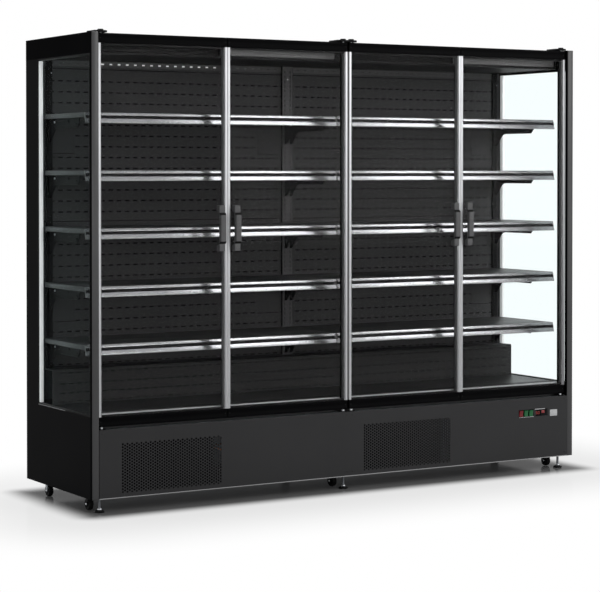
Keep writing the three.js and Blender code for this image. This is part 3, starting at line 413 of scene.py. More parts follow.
# Double glazing with an anti-reflective coating: its index is set far below the 1.5 of bare glass, so
# only a faint gloss stays, as in the photo. The end panes are seen at a flatter angle, hence lower still.
DOOR_GLASS = PaneGlass("coated_door_glass", "#ffffff", 0.0)
END_GLASS = PaneGlass("coated_end_glass", "#fbffff", 0.0, ior=1.012)
# Light diffuser under the canopy, dimmed as in the photo, and the red display segments.
DIFFUSER = Lit("opal_light_diffuser", "#5c5c5c", 0.5, glow=0.1)
DIODE_GLOW = Lit("lit_slot_diffuser", "#d8d8d8", 0.4, glow=0.75)
RED_DIGITS = Lit("red_display_segment", "#901410", 0.4, glow=0.2)
# White strip of diodes down the back edge of each end window, dimmed.
EDGE_LIGHT = Lit("white_edge_light", "#f0f0f0", 0.4, glow=0.42)
# Folded bottom hem of the kick panel, painted a light grey.
EDGE_PAINT = PowderCoat("light_grey_hem_paint", "#9a9a9b", 0.3, 0.0, 0.6, lighter="#aeaeaf")
# Band under the canopy, painted lighter than the wall as painted light from the strip behind it.
BAND_LIGHT_PAINT = PowderCoat("band_painted_light_coat", "#474748", 0.5, 0.0, 0.3, lighter="#535354")
# Canopy underside in black powder coat.
CANOPY_PAINT = PowderCoat("canopy_powder_coat", "#19191a", 0.55, 0.0, 0.12, lighter="#212122")
# Shelf trays and the deck in satin dark grey powder coat, which shows some of the light above.
SHELF_PAINT = PowderCoat("shelf_powder_coat", "#29292a", 0.45, 0.0, 0.35, lighter="#343435")
DECK_PAINT = PowderCoat("deck_powder_coat", "#1c1c1d", 0.4, 0.0, 0.35, lighter="#262627")
# Aluminium trim along the deck's front edge.
TRIM_METAL = DrawnMetal("satin_anodised_trim", "#b0b1b3", 0.45, 0.4, lighter="#c2c3c5")
# Dark joints, seams and label inserts; the joints' black also paints shade behind slots, under the wall's
# cover plates and round the handles' grips.
SEAM_AND_SHADE_BLACK = Moulded("black_joint_filler_and_painted_shade", "#0a0a0a", 0.7, 0.0, 0.15, lighter="#101010")
LABEL_BLACK = Moulded("black_label_channel", "#111112", 0.6, 0.0, 0.1, lighter="#18181a")
# Warm-edge spacer between the panes, in satin grey.
SPACER = Moulded("satin_grey_spacer", "#757576", 0.5, 0.0, 0.3, lighter="#8a8a8b")
# Silver-grey bumpers on both upright edges of the doors.
BUMPER = Moulded("silver_grey_bumper", "#b4b4b5", 0.4, 0.0, 0.4, lighter="#c2c2c3")
# The seal behind the middle gap.
EDGE_SEAL = Moulded("grey_edge_seal", "#5c5c5d", 0.6, 0.0, 0.3, lighter="#686869")
# Condenser coils sprayed black, and the same black as painted shade on the tray and behind the grilles' feet,
# so that nothing shines through the grilles.
COIL_AND_SHADE_BLACK = Moulded("black_coil_coating_and_painted_shade", "#0a0a0b", 0.7, 0.0, 0.1, lighter="#0e0e0f")
# Display window in black polycarbonate and the red lens beside it.
DISPLAY_BLACK = Moulded("black_display_glass", "#060607", 0.3, 0.0, 0.04, lighter="#0a0a0b")
RED_LENS = Moulded("red_display_lens", "#7c1216", 0.2, 0.0, 0.5, lighter="#96181d", grain_mm=3.0)
# Threaded stems in dull zinc.
STEM_METAL = DrawnMetal("dull_zinc_thread", "#8d8f92", 0.4, 1.0, lighter="#aeb0b3")
# Diffuser where the light behind it is nearly out.
DIM_DIFFUSER = Lit("dim_light_diffuser", "#2c2c2c", 0.4, glow=0.02)


# --- Mesh building ------------------------------------------------------------------------------


class Axis(Enum):
    """The direction that an outline is drawn out along."""

    X = 0
    Y = 1
    Z = 2

    def point(self, u: float, v: float, along: float) -> Vector:
        """Places a point of an outline in space.

        Args:
            u: Its first coordinate; u comes before v in x, y, z order.
            v: Its second coordinate.
            along: Its distance along the axis.

        Returns:
            The point.
        """
        place = [u, v]
        place.insert(self.value, along)
        return Vector(place)

    @property
    def turn(self) -> Matrix:
        """The turn that takes +Z to this axis."""
        name, degrees = (("Y", 90), ("X", -90), ("Z", 0))[self.value]
        return Matrix.Rotation(math.radians(degrees), 3, name)


def new_verts(made: dict) -> list[bmesh.types.BMVert]:
    """The vertices in what a bmesh operator returned as geom."""
    return [item for item in made["geom"] if isinstance(item, bmesh.types.BMVert)]


class Shape:
    """One piece in the making. Its parts are given in millimetres and joined as they are made."""

    def __init__(self, name: str) -> None:
        """Starts an empty piece.

        Args:
            name: The name that its object gets.
        """
        self.name = name
        self.mesh = bmesh.new()
        self.finishes: list[Finish] = []

    def keep(self, part: Mesh, finish: Finish, bevel: float = 0.0, segments: int = 2) -> None:
        """Bevels a part's sharp edges, gives it a finish and joins it to the piece.

        Args:
            part: The part, which is freed.
            finish: What it is made of.
            bevel: Width of the bevel, in millimetres.
            segments: Steps across the bevel.
        """
        if bevel:
            sharp = [edge for edge in part.edges if edge.calc_face_angle(0) > CREASE]
            bmesh.ops.bevel(part, geom=sharp, offset=bevel, offset_type="OFFSET", affect="EDGES",
                            segments=segments, profile=0.5, material=-1, clamp_overlap=True)
        if finish not in self.finishes:
            self.finishes.append(finish)
        for face in part.faces:
            face.material_index = self.finishes.index(finish)
            face.smooth = True
        for edge in part.edges:
            edge.smooth = edge.calc_face_angle(0) < CREASE
        held = bpy.data.meshes.new("part")
        part.to_mesh(held)
        part.free()
        self.mesh.from_mesh(held)
        bpy.data.meshes.remove(held)

    def block(
        self, x: Pair, y: Pair, z: Pair, finish: Finish, bevel: float = 0.5, segments: int = 2
    ) -> None:
        """Adds a bevelled box.

        Args:
            x: Its two ends along x.
            y: Its two ends along y.
            z: Its two ends along z.
            finish: What it is made of.
            bevel: Width of the bevel.
            segments: Steps across the bevel.
        """
        part = bmesh.new()
        bmesh.ops.create_cube(part, size=1.0)
        bmesh.ops.scale(part, verts=part.verts, vec=[high - low for low, high in (x, y, z)])
        bmesh.ops.translate(part, verts=part.verts, vec=[(low + high) / 2 for low, high in (x, y, z)])
        self.keep(part, finish, bevel, segments)

    def prism(
        self, outline: Sequence[Pair], axis: Axis, span: Pair, finish: Finish, bevel: float = 0.5,
        segments: int = 2
    ) -> None:
        """Draws an outline out along an axis.

        Args:
            outline: Corners in order, in the plane across the axis.
            axis: The direction of drawing.
            span: Start and end along the axis.
            finish: What it is made of.
            bevel: Width of the bevel.
            segments: Steps across the bevel.
        """
        part = bmesh.new()
        face = part.faces.new([part.verts.new(axis.point(u, v, span[0])) for u, v in outline])
        self.thicken(part, [face], axis.point(0, 0, span[1] - span[0]))
        self.keep(part, finish, bevel, segments)

    def thicken(self, part: Mesh, faces: Iterable, by: Vector) -> None:
        """Draws flat faces out into a closed shell that faces outwards.

        Args:
            part: The part that the faces belong to.
            faces: The faces.
            by: How far and in which direction.
        """
        made = bmesh.ops.extrude_face_region(part, geom=list(faces))
        bmesh.ops.translate(part, verts=new_verts(made), vec=by)
        bmesh.ops.recalc_face_normals(part, faces=part.faces)

    def turned(
        self, profile: Sequence[Pair], axis: Axis, at: Point, finish: Finish, steps: int = 24
    ) -> None:
        """Spins a profile about an axis through a point.

        Args:
            profile: Radius and height pairs, from one end to the other.
            axis: The axis of the spin.
            at: Where height zero lies.
            finish: What it is made of.
            steps: Sides of the round.
        """
        part = bmesh.new()
        verts = [part.verts.new((radius, 0, height)) for radius, height in profile]
        edges = [part.edges.new(pair) for pair in zip(verts, verts[1:])]
        bmesh.ops.spin(part, geom=verts + edges, cent=(0, 0, 0), axis=(0, 0, 1), dvec=(0, 0, 0),
                       angle=math.tau, steps=steps, use_merge=True)
        bmesh.ops.remove_doubles(part, verts=part.verts, dist=0.001)
        bmesh.ops.recalc_face_normals(part, faces=part.faces)
        bmesh.ops.rotate(part, verts=part.verts, cent=(0, 0, 0), matrix=axis.turn)
        bmesh.ops.translate(part, verts=part.verts, vec=at)
        self.keep(part, finish)

    def rod(
        self, start: Point, end: Point, radius: float, finish: Finish, sides: int = 16, bevel: float = 0.4
    ) -> None:
        """Adds a round bar.

        Args:
            start: The middle of one end.
            end: The middle of the other end.
            radius: Its radius.
            finish: What it is made of.
            sides: Sides of the round.
            bevel: Width of the bevel.
        """
        part = bmesh.new()
        along = Vector(end) - Vector(start)
        bmesh.ops.create_cone(part, cap_ends=True, cap_tris=False, segments=sides, radius1=radius,
                              radius2=radius, depth=along.length)
        turn = Vector((0, 0, 1)).rotation_difference(along).to_matrix()
        bmesh.ops.rotate(part, verts=part.verts, cent=(0, 0, 0), matrix=turn)
        bmesh.ops.translate(part, verts=part.verts, vec=Vector(start) + along / 2)
        self.keep(part, finish, bevel)

    def screw(self, at: Point, axis: Axis, out: float, radius: float, finish: Finish) -> None:
        """Adds a low round screw head with a sunk drive.

        Args:
            at: Where it sits on the surface.
            axis: The direction that it stands out in.
            out: One or minus one, the way along that axis.
            radius: Its radius.
            finish: What it is made of.
        """
        head = 0.45 * radius
        profile = [(0, 0), (radius, 0), (radius, 0.35 * head), (0.7 * radius, 0.85 * head),
                   (0.22 * radius, head), (0.18 * radius, 0.5 * head), (0, 0.5 * head)]
        self.turned([(r, out * h) for r, h in profile], axis, at, finish, steps=12)

    def lattice(
        self, axis: Axis, across: Pair, up: Pair, depth: Pair, windows: Sequence[Windows], finish: Finish
    ) -> None:
        """Adds a flat sheet with rectangular openings.

        Args:
            axis: The direction through the sheet.
            across: The sheet's edges across.
            up: The sheet's edges upwards.
            depth: The sheet's two faces along the axis.
            windows: The openings.
            finish: What it is made of.
        """
        columns = sorted({*across, *(edge for wide, _ in windows for pair in wide for edge in pair)})
        rows = sorted({*up, *(edge for _, tall in windows for pair in tall for edge in pair)})
        part = bmesh.new()
        bmesh.ops.create_grid(part, x_segments=len(columns) - 1, y_segments=len(rows) - 1, size=0.5)
        for vert in part.verts:
            column = round((vert.co.x + 0.5) * (len(columns) - 1))
            row = round((vert.co.y + 0.5) * (len(rows) - 1))
            vert.co = axis.point(columns[column], rows[row], depth[0])
        u, v = (i for i in range(3) if i != axis.value)
        gone = []
        for face in part.faces:
            middle = face.calc_center_median()
            if any(within(middle[u], wide) and within(middle[v], tall) for wide, tall in windows):
                gone.append(face)
        bmesh.ops.delete(part, geom=gone, context="FACES")
        self.thicken(part, part.faces, axis.point(0, 0, depth[1] - depth[0]))
        self.keep(part, finish)

    def piece(self, body: str, replaces: Iterable[str] = ()) -> bpy.types.Object:
        """Makes the joined parts an object that moves with a body.

        Args:
            body: The CAD body that carries it.
            replaces: CAD nodes that it stands for.

        Returns:
            The object, at the origin and in metres.
        """
        bmesh.ops.scale(self.mesh, verts=self.mesh.verts, vec=(MM, MM, MM))
        data = bpy.data.meshes.new(self.name)
        self.mesh.to_mesh(data)
        self.mesh.free()
        for finish in self.finishes:
            data.materials.append(finish.material())
        made = stand(self.name, data)
        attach(made, body)
        if replaces:
            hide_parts(*replaces)
        log.info("%s: %d faces on %s", self.name, len(data.polygons), body)
        return made


def spans(node: str) -> tuple[Pair, Pair, Pair]:
    """The reach of a CAD node along x, y and z, in millimetres."""
    low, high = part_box(node)
    return tuple((a / MM, b / MM) for a, b in zip(low, high))


def within(value: float, pairs: Iterable[Pair]) -> bool:
    """Whether a value lies inside one of the spans."""
    return any(low < value < high for low, high in pairs)


def around(middle: float, half: float) -> Pair:
    """The span of a half width about a middle."""
    return middle - half, middle + half


def ends(span: Pair, width: float) -> tuple[Pair, Pair]:
    """The stretches of a width at the two ends of a span."""
    return (span[0], span[0] + width), (span[1] - width, span[1])


def inset(span: Pair, by: float) -> Pair:
    """The span drawn in at both ends, or let out where by is below zero."""
    return span[0] + by, span[1] - by


def comb(span: Pair, count: int) -> list[Pair]:
    """Evenly spaced openings along a span, each as wide as the bars between them."""
    width = (span[1] - span[0]) / (2 * count + 1)
    return [(span[0] + width * (2 * i + 1), span[0] + width * (2 * i + 2)) for i in range(count)]


def steps(first: float, last: float, pitch: float) -> list[float]:
    """Values a pitch apart from first to last."""
    return [first + index * pitch for index in range(int((last - first) / pitch + 1e-6) + 1)]


def spread(span: Pair, margin: float, count: int) -> list[float]:
    """Evenly spaced values along a span, the outer ones a margin from its ends."""
    low, high = inset(span, margin)
    return [low + (high - low) / (count - 1) * index for index in range(count)]


def dress(node: str, finish: Finish) -> None:
    """Gives every material slot of a CAD node a finish.

    Args:
        node: The node's name.
        finish: The finish.
    """
    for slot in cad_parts[node].material_slots:
        slot.material = finish.material()
    log.info("%s: dressed in %s", node, finish.name)


# --- Sub-assemblies -----------------------------------------------------------------------------


class SubAssembly:
    """A group of pieces that are built and dressed together."""

    def build(self) -> None:
        """Builds the pieces in the order that they are fitted."""
        raise NotImplementedError


@dataclass
class Studio(SubAssembly):
    """The camera, the lamps and the pale floor."""

    camera_at: Point = (-4.617, -7.604, 1.409)
    camera_turn: Point = (88.98, 0.0, -30.93)  # degrees
    lens: float = 117.1  # millimetres
    shift: float = -0.15
    sky: float = 0.4  # world brightness on the object; the background itself is 1
    floor_half: float = 14.0  # metres
    footprint: Point = (1.25, 0.35, 0.0)  # half of the fridge's floor space, metres
    near: float = 0.14  # metres from the fridge over which the floor's painted shadow clears
    fade: float = 0.9  # metres from the fridge at which the floor is as white as the background
    sensor: float = 36.0  # millimetres
    floor_painted_shadow: tuple[str, str] = ("#707070", "#c0c0c0")  # painted shadow: the floor's dark tone at the fridge's foot, and its tone away from it
    polish: float = 0.09  # share of the floor's faint reflection
    shadow: float = 0.72  # share of the clearing that is done over the near stretch

    def build(self) -> None:
        """Camera first, then light, then floor."""
        self.set_camera()
        self.set_world()
        self.set_lamp("key_lamp", (3.5, -4.9, 3.8), (0.3, 0.0, 0.8), (3.4, 3.0), 120.0)
        self.set_lamp("near_strip", (0.4, -8.6, 1.5), (0.0, 0.0, 1.2), (2.4, 1.4), 46.0)
        self.set_lamp("far_strip", (6.4, -8.2, 1.3), (0.0, 0.0, 1.2), (4.6, 1.2), 38.0)
        self.set_lamp("top_lamp", (0.0, 1.2, 5.5), (0.0, 0.4, 0.0), (5.0, 3.0), 320.0)
        self.lay_floor()

    def set_camera(self) -> None:
        """Places the camera at the photograph's viewing angle."""
        data = bpy.data.cameras.new("camera")
        data.lens, data.sensor_width, data.shift_y = self.lens, self.sensor, self.shift
        camera = stand("camera", data)
        camera.location = self.camera_at
        camera.rotation_euler = [math.radians(angle) for angle in self.camera_turn]
        bpy.context.scene.camera = camera

    def set_world(self) -> None:
        """White where it is seen, mirrored or looked at through glass, and soft grey as light."""
        world = bpy.data.worlds.new("studio_world")
        tree = empty_tree(world)
        seen = white_ray(tree)
        soft = add(tree, "Background", {"Color": linear("#ffffff"), "Strength": self.sky})
        white = add(tree, "Background", {"Color": linear("#ffffff"), "Strength": 1.0})
        mix = add(tree, "MixShader", links={0: seen, 1: soft.outputs[0], 2: white.outputs[0]})
        add(tree, "OutputWorld", links={"Surface": mix.outputs[0]})
        bpy.context.scene.world = world
        bpy.context.scene.view_settings.view_transform = "Standard"

    def set_lamp(self, name: str, at: Point, to: Point, size: Pair, power: float) -> None:
        """Adds a large soft rectangular lamp.

        Args:
            name: Its name.
            at: Where it stands.
            to: The point that it looks at.
            size: Its width and height, in metres.
            power: Its power, in watts.
        """
        data = bpy.data.lights.new(name, "AREA")
        data.shape, data.energy = "RECTANGLE", power
        data.size, data.size_y = size
        lamp = stand(name, data)
        lamp.location = at
        lamp.rotation_euler = (Vector(to) - Vector(at)).to_track_quat("-Z", "Y").to_euler()

    def lay_floor(self) -> None:
        """Lays a plain pale floor that keeps the fridge's shadow and a faint reflection, with a painted shadow
        that darkens it near the fridge's foot.
        """
        mesh = bmesh.new()
        bmesh.ops.create_grid(mesh, x_segments=1, y_segments=1, size=self.floor_half)
        data = bpy.data.meshes.new("studio_floor")
        mesh.to_mesh(data)
        mesh.free()
        data.materials.append(self.floor_material())
        stand("studio_floor", data)

    def floor_material(self) -> bpy.types.Material:
        """Mixes a matt floor with a painted shadow at the fridge's foot, a faint polish and the white of the
        background.

        Returns:
            The floor's material, which fades to the background away from the fridge.
        """
        made = bpy.data.materials.new("white_studio_floor_painted_shadow")
        tree = empty_tree(made)
        where = add(tree, "TexCoord").outputs["Object"]
        for operation, value in (("ABSOLUTE", ()), ("SUBTRACT", self.footprint), ("MAXIMUM", (0, 0, 0))):
            settings = {"operation": operation, 1: value} if value else {"operation": operation}
            where = add(tree, "VectorMath", settings, {0: where}).outputs[0]
        far = add(tree, "VectorMath", {"operation": "LENGTH"}, {0: where}).outputs["Value"]
        rises = []
        stretches = ((-0.01, self.near, self.shadow), (self.near, self.fade, 1 - self.shadow))
        for start, end, top in stretches:
            settings = {"From Min": start, "From Max": end, "To Max": top, "interpolation_type": "SMOOTHSTEP"}
            rises.append(add(tree, "MapRange", settings, {"Value": far}).outputs[0])
        fade = add(tree, "Math", {"operation": "ADD"}, {0: rises[0], 1: rises[1]}).outputs[0]
        # The floor's own tone darkens towards the fridge's foot: a painted shadow.
        tones = {"data_type": "RGBA", 6: linear(self.floor_painted_shadow[0]), 7: linear(self.floor_painted_shadow[1])}
        floor_painted_shadow = add(tree, "Mix", tones, {0: rises[0]}).outputs[2]
        matt = add(tree, "BsdfDiffuse", links={"Color": floor_painted_shadow}).outputs[0]
        gloss = add(tree, "BsdfGlossy", {"Color": linear("#ffffff"), "Roughness": 0.1}).outputs[0]
        lit = add(tree, "MixShader", {0: self.polish}, {1: matt, 2: gloss}).outputs[0]
        white = add(tree, "Emission", {"Color": linear("#ffffff"), "Strength": 1.0}).outputs[0]
        seen = add(tree, "Math", {"operation": "MULTIPLY"}, {0: fade, 1: white_ray(tree)}).outputs[0]
        both = add(tree, "MixShader", links={0: seen, 1: lit, 2: white}).outputs[0]
        add(tree, "OutputMaterial", links={"Surface": both})
        return made


def white_ray(tree: Tree) -> Socket:
    """Picks out the rays that are to meet the white background.

    Args:
        tree: The node tree that asks.

    Returns:
        A socket that is one for rays from the camera, off gloss and through glass, and zero for
        light that falls on a surface.
    """
    path = add(tree, "LightPath").outputs
    either = path["Is Camera Ray"]
    for other in ("Is Glossy Ray", "Is Transmission Ray"):
        either = add(tree, "Math", {"operation": "MAXIMUM"}, {0: either, 1: path[other]}).outputs[0]
    direct = add(tree, "Math", {"operation": "LESS_THAN", 1: 0.5}, {0: path["Diffuse Depth"]}).outputs[0]
    return add(tree, "Math", {"operation": "MULTIPLY"}, {0: either, 1: direct}).outputs[0]


@dataclass
class KickPanel(SubAssembly):
    """The folded sheet across the machine space, with two finely perforated grilles."""

    grille_lefts: Pair = (-1117.0, 71.0)
    grille_width: float = 471.0
    grille_z: Pair = (77.0, 288.0)
    hole_pitch: float = 12.4
    hole_radius: float = 4.6
    grille_sheet: float = 1.2
    hem: float = 10.0  # folded bottom edge
    rockers: tuple[Pair, Pair] = ((932.0, 1018.0), (259.0, 293.0))  # cut-out across and up
    display: tuple[Pair, Pair] = ((1026.0, 1096.0), (260.0, 292.0))

    def build(self) -> None:
        """Sheet, grilles, hem and fixing screws as one piece."""
        x, y, z = spans("kick_panel")
        foot = self.grille_z[0]
        shape = Shape("kick_panel_sheet")
        grilles = [(left, left + self.grille_width) for left in self.grille_lefts]
        cut_outs = [([across], [up]) for across, up in (self.rockers, self.display)]
        shape.lattice(Axis.Y, x, z, y, [*cut_outs, (grilles, [self.grille_z])], DARK_PAINT)
        for grille in grilles:
            self.perforate(shape, grille[0], y)
            # Black painted shade behind the foot of each grille.
            shade_block = ((y[1] - 1.6, y[1] - 0.4), (foot - 0.5, foot + 10))
            shape.block(inset(grille, -0.5), *shade_block, COIL_AND_SHADE_BLACK)
        shape.block(x, (y[0] - 0.2, y[0] + self.hem), (z[0] - 0.2, z[0] + 3.4), EDGE_PAINT, 0.6)
        for left in (x[0] + 14, -14.0, 14.0, x[1] - 14):
            for height in (z[0] + 22, z[1] - 14):
                shape.screw((left, y[0], height), Axis.Y, -1.0, 4.0, DARK_PAINT)
        shape.piece("cabinet", ["kick_panel"])

    def perforate(self, shape: Shape, left: float, y: Pair) -> None:
        """Fills a grille's opening with upright columns of holes, every other one half a pitch up.

        Args:
            shape: The piece that receives them.
            left: The opening's left edge.
            y: The sheet's two faces.
        """
        height = self.grille_z[1] - self.grille_z[0]
        pitch = height / round(height / self.hole_pitch)
        columns = round(self.grille_width / (self.hole_pitch * 0.866) / 2) * 2
        rise = self.grille_width / columns
        part = bmesh.new()
        self.ring(part, pitch, rise)
        bmesh.ops.translate(part, verts=part.verts, vec=(pitch / 2, rise / 2, 0))
        self.repeat(part, (pitch, 0, 0), round(height / pitch) - 1)
        row = part.verts[:] + part.edges[:] + part.faces[:]
        copy = bmesh.ops.duplicate(part, geom=row)
        bmesh.ops.translate(part, verts=new_verts(copy), vec=(pitch / 2, rise, 0))
        middles = {face: face.calc_center_median() for face in part.faces}
        spare = [face for face, at in middles.items() if at.y > rise and at.x > height - pitch / 2]
        bmesh.ops.delete(part, geom=spare, context="FACES")
        for start in (0.0, height - pitch / 2):
            blank = bmesh.ops.create_grid(part, x_segments=1, y_segments=2, size=0.5)["verts"]
            bmesh.ops.scale(part, verts=blank, vec=(pitch / 2, rise, 1))
            bmesh.ops.translate(part, verts=blank, vec=(start + pitch / 4, 1.5 * rise, 0))
        self.repeat(part, (0, 2 * rise, 0), columns // 2 - 1)
        bmesh.ops.remove_doubles(part, verts=part.verts, dist=0.01)
        for vert in part.verts:
            vert.co = Axis.Y.point(left + vert.co.y, self.grille_z[0] + vert.co.x, y[0])
        shape.thicken(part, part.faces, Vector((0, self.grille_sheet, 0)))
        shape.keep(part, DARK_PAINT)

    def ring(self, part: Mesh, pitch: float, rise: float) -> None:
        """Makes a rectangle of sheet about one hole.

        Args:
            part: The empty part that receives it.
            pitch: The rectangle's first side.
            rise: Its second side.
        """
        bmesh.ops.create_circle(part, segments=8, radius=self.hole_radius)
        rim = bmesh.ops.create_circle(part, segments=8, radius=1.0)["verts"]
        for vert in rim:
            vert.co = (round(vert.co.x * 1.2) * pitch / 2, round(vert.co.y * 1.2) * rise / 2, 0)
        bmesh.ops.bridge_loops(part, edges=part.edges[:])

    def repeat(self, part: Mesh, by: Point, count: int) -> None:
        """Adds copies of everything in a part.

        Args:
            part: The part.
            by: How far each copy stands from the one before.
            count: How many copies.
        """
        everything = part.verts[:] + part.edges[:] + part.faces[:]
        bmesh.ops.spin(part, geom=everything, cent=(0, 0, 0), axis=(0, 0, 1), dvec=by, angle=0.0,
                       steps=count, use_duplicate=True)


@dataclass
class Controls(SubAssembly):
    """Three lit rockers, the thermostat with its display, and a blank plate."""

    middles: tuple[float, float, float] = (946.0, 975.0, 1004.0)
    height: float = 276.0
    panel: float = -330.0
    pivot: float = -328.5
    tilt: float = 7.0
    thermostat_x: float = 1061.0
    plate_x: Pair = (1115.0, 1158.0)
    plate_z: Pair = (255.0, 285.0)
    box_back: float = -299.5
    box_half: float = 17.0  # half of the switch box's height
    digit: tuple[float, float, float] = (9.0, 13.0, 1.8)  # width, height and bar of one digit

    def build(self) -> None:
        """Rockers on their own bodies, the rest on the cabinet."""
        for name, middle in zip(("main_switch", "light_switch_left", "light_switch_right"), self.middles):
            red = name == "main_switch"
            slot = "red_plastic" if red else "green_plastic"
            self.rocker(name, middle, RED_PLASTIC if red else GREEN_PLASTIC, slot)
        self.module()
        self.plate()

    def rocker(self, name: str, middle: float, finish: Finish, slot: str) -> None:
        """A see-saw button with a hollow face, tilted to off.

        Args:
            name: Its CAD body and node.
            middle: Its middle across.
            finish: What it is made of.
            slot: Not used.
        """
        turn = Matrix.Rotation(math.radians(self.tilt), 2)
        side = [(-5.0, 14.1), (-3.6, 7.0), (-3.0, 0.0), (-3.6, -7.0), (-5.0, -14.1), (7.0, -13.2),
                (7.0, 13.2)]
        placed = [turn @ Vector(point) for point in side]
        outline = [(self.pivot + p.x, self.height + p.y) for p in placed]
        shape = Shape(f"{name}_button")
        shape.prism(outline, Axis.X, around(middle, 10.4), finish, 0.8, 3)
        shape.piece(name, [name])

    def module(self) -> None:
        """The rockers' frames with their box, and the thermostat, as one piece."""
        shape = Shape("control_module")
        self.switch_box(shape)
        self.thermostat(shape)
        shape.piece("cabinet", ["thermostat"])

    def switch_box(self, shape: Shape) -> None:
        """The rockers' frames, the silver trim under them as a painted highlight, and the box behind the
        panel.

        Args:
            shape: The piece that receives them.
        """
        face, row = self.panel - 2.0, (self.middles[0], self.middles[-1])
        rim = (around(self.height, 17.6), (face, self.panel + 2.6))
        for middle in self.middles:
            self.frame(shape, around(middle, 14.3), *rim, 3.4)
        box, up = inset(row, -14.5), around(self.height, self.box_half)
        deep = (self.panel + 3.3, self.box_back)
        shape.block(box, (deep[1] - 1.5, deep[1] + 0.5), up, BLACK_PLASTIC)
        for height in up:
            shape.block(box, deep, around(height, 1.0), BLACK_PLASTIC)
        for end in box:
            shape.block(around(end, 1.0), deep, up, BLACK_PLASTIC)
        link = (box[1] - 1, self.thermostat_x)
        shape.block(link, (self.panel + 3.4, self.panel + 5.3), around(self.height, 15), BLACK_PLASTIC)
        # A silver strip under the frames: a painted highlight on their lower edge.
        trim = ((face - 0.5, face + 1.0), around(self.height - 17.4, 1.0))
        shape.block(inset(row, -14), *trim, PLATE_AND_HIGHLIGHT, 0.4)

    def thermostat(self, shape: Shape) -> None:
        """The thermostat's body, bezel, display window, buttons and red lens, with a silver bar as a painted
        highlight on the bezel's top edge.

        Args:
            shape: The piece that receives them.
        """
        face, back = spans("thermostat")[1]
        middle, height = self.thermostat_x, self.height
        left = middle - 37
        shape.block(around(middle, 35), (self.panel - 1, back), around(height, 15.8), BLACK_PLASTIC, 1.0)
        self.frame(shape, (middle - 38, middle + 44), around(height, 19), (face, self.panel - 0.3), 4.0)
        edge = around(middle + 37, 4)
        shape.block(edge, (face + 1.4, self.panel), around(height, 16), BLACK_PLASTIC, 0.4)
        shape.block(around(middle, 34.5), (face + 1.2, self.panel), around(height, 15.5), DISPLAY_BLACK, 0.4)
        rim = (face - 0.4, face + 1.5)
        # A silver bar along the bezel's top edge: a painted highlight.
        shape.block((left, middle + 22), rim, (height + 15.0, height + 18.2), PLATE_AND_HIGHLIGHT, 0.5)
        shape.block((left - 0.4, left + 2.2), rim, around(height, 14), HANDLE_PLASTIC, 0.5)
        self.digits(shape, middle - 31, face + 1.0)
        for index in range(4):
            button = around(middle + 5 + 8.0 * index, 2.9)
            shape.block(button, (face + 0.5, self.panel), around(height - 9.5, 2.3), LABEL_BLACK, 0.6)
        lens = (around(middle + 12, 9), (face + 0.9, self.panel), around(height + 3, 6.5))
        shape.block(*lens, RED_LENS, 0.5)

    def frame(self, shape: Shape, x: Pair, z: Pair, y: Pair, width: float) -> None:
        """A rectangular bezel of one moulding.

        Args:
            shape: The piece that receives it.
            x: Its two ends across.
            z: Its two ends upwards.
            y: Its front and back.
            width: Width of its rim.
        """
        part = bmesh.new()
        bmesh.ops.create_grid(part, x_segments=1, y_segments=1, size=0.5)
        bmesh.ops.scale(part, verts=part.verts, vec=(x[1] - x[0], z[1] - z[0], 1))
        centre = part.faces[:]
        bmesh.ops.inset_region(part, faces=centre, thickness=width, use_even_offset=True)
        bmesh.ops.delete(part, geom=centre, context="FACES")
        for vert in part.verts:
            vert.co = Axis.Y.point(sum(x) / 2 + vert.co.x, sum(z) / 2 + vert.co.y, y[0])
        shape.thicken(part, part.faces, Vector((0, y[1] - y[0], 0)))
        shape.keep(part, BLACK_PLASTIC, 0.6)

    def digits(self, shape: Shape, left: float, face: float) -> None:
        """A plain two-digit reading in lit segments, with its point.

        Args:
            shape: The piece that receives it.
            left: The reading's left edge.
            face: The display's front.
        """
        wide, tall, bar = self.digit
        half, right = tall / 2, wide - bar
        foot, depth = self.height - half - 1, (face - 0.2, face + 0.4)
        bars = {
            "top": (0, tall - bar, wide, bar),
            "upper_left": (0, half, bar, half),
            "upper_right": (right, half, bar, half),
            "middle": (0, half - bar / 2, wide, bar),
            "lower_left": (0, 0, bar, half),
            "lower_right": (right, 0, bar, half),
            "foot": (0, 0, wide, bar),
            "point": (wide + 0.8, 0, 2.2, bar),
        }
        three = ("top", "upper_right", "middle", "lower_right", "foot", "point")
        zero = ("top", "upper_left", "upper_right", "lower_left", "lower_right", "foot")
        for start, lit in ((left, three), (left + wide + 4, zero)):
            for u, v, width, height in (bars[name] for name in lit):
                across, up = (start + u, start + u + width), (foot + v, foot + v + height)
                shape.block(across, depth, up, RED_DIGITS, 0.1, 1)

    def plate(self) -> None:
        """The blank satin plate to the right of the thermostat."""
        shape = Shape("blank_plate")
        shape.block(self.plate_x, (self.panel - 0.9, self.panel - 0.05), self.plate_z, PLATE_AND_HIGHLIGHT, 0.3)
        shape.piece("cabinet")


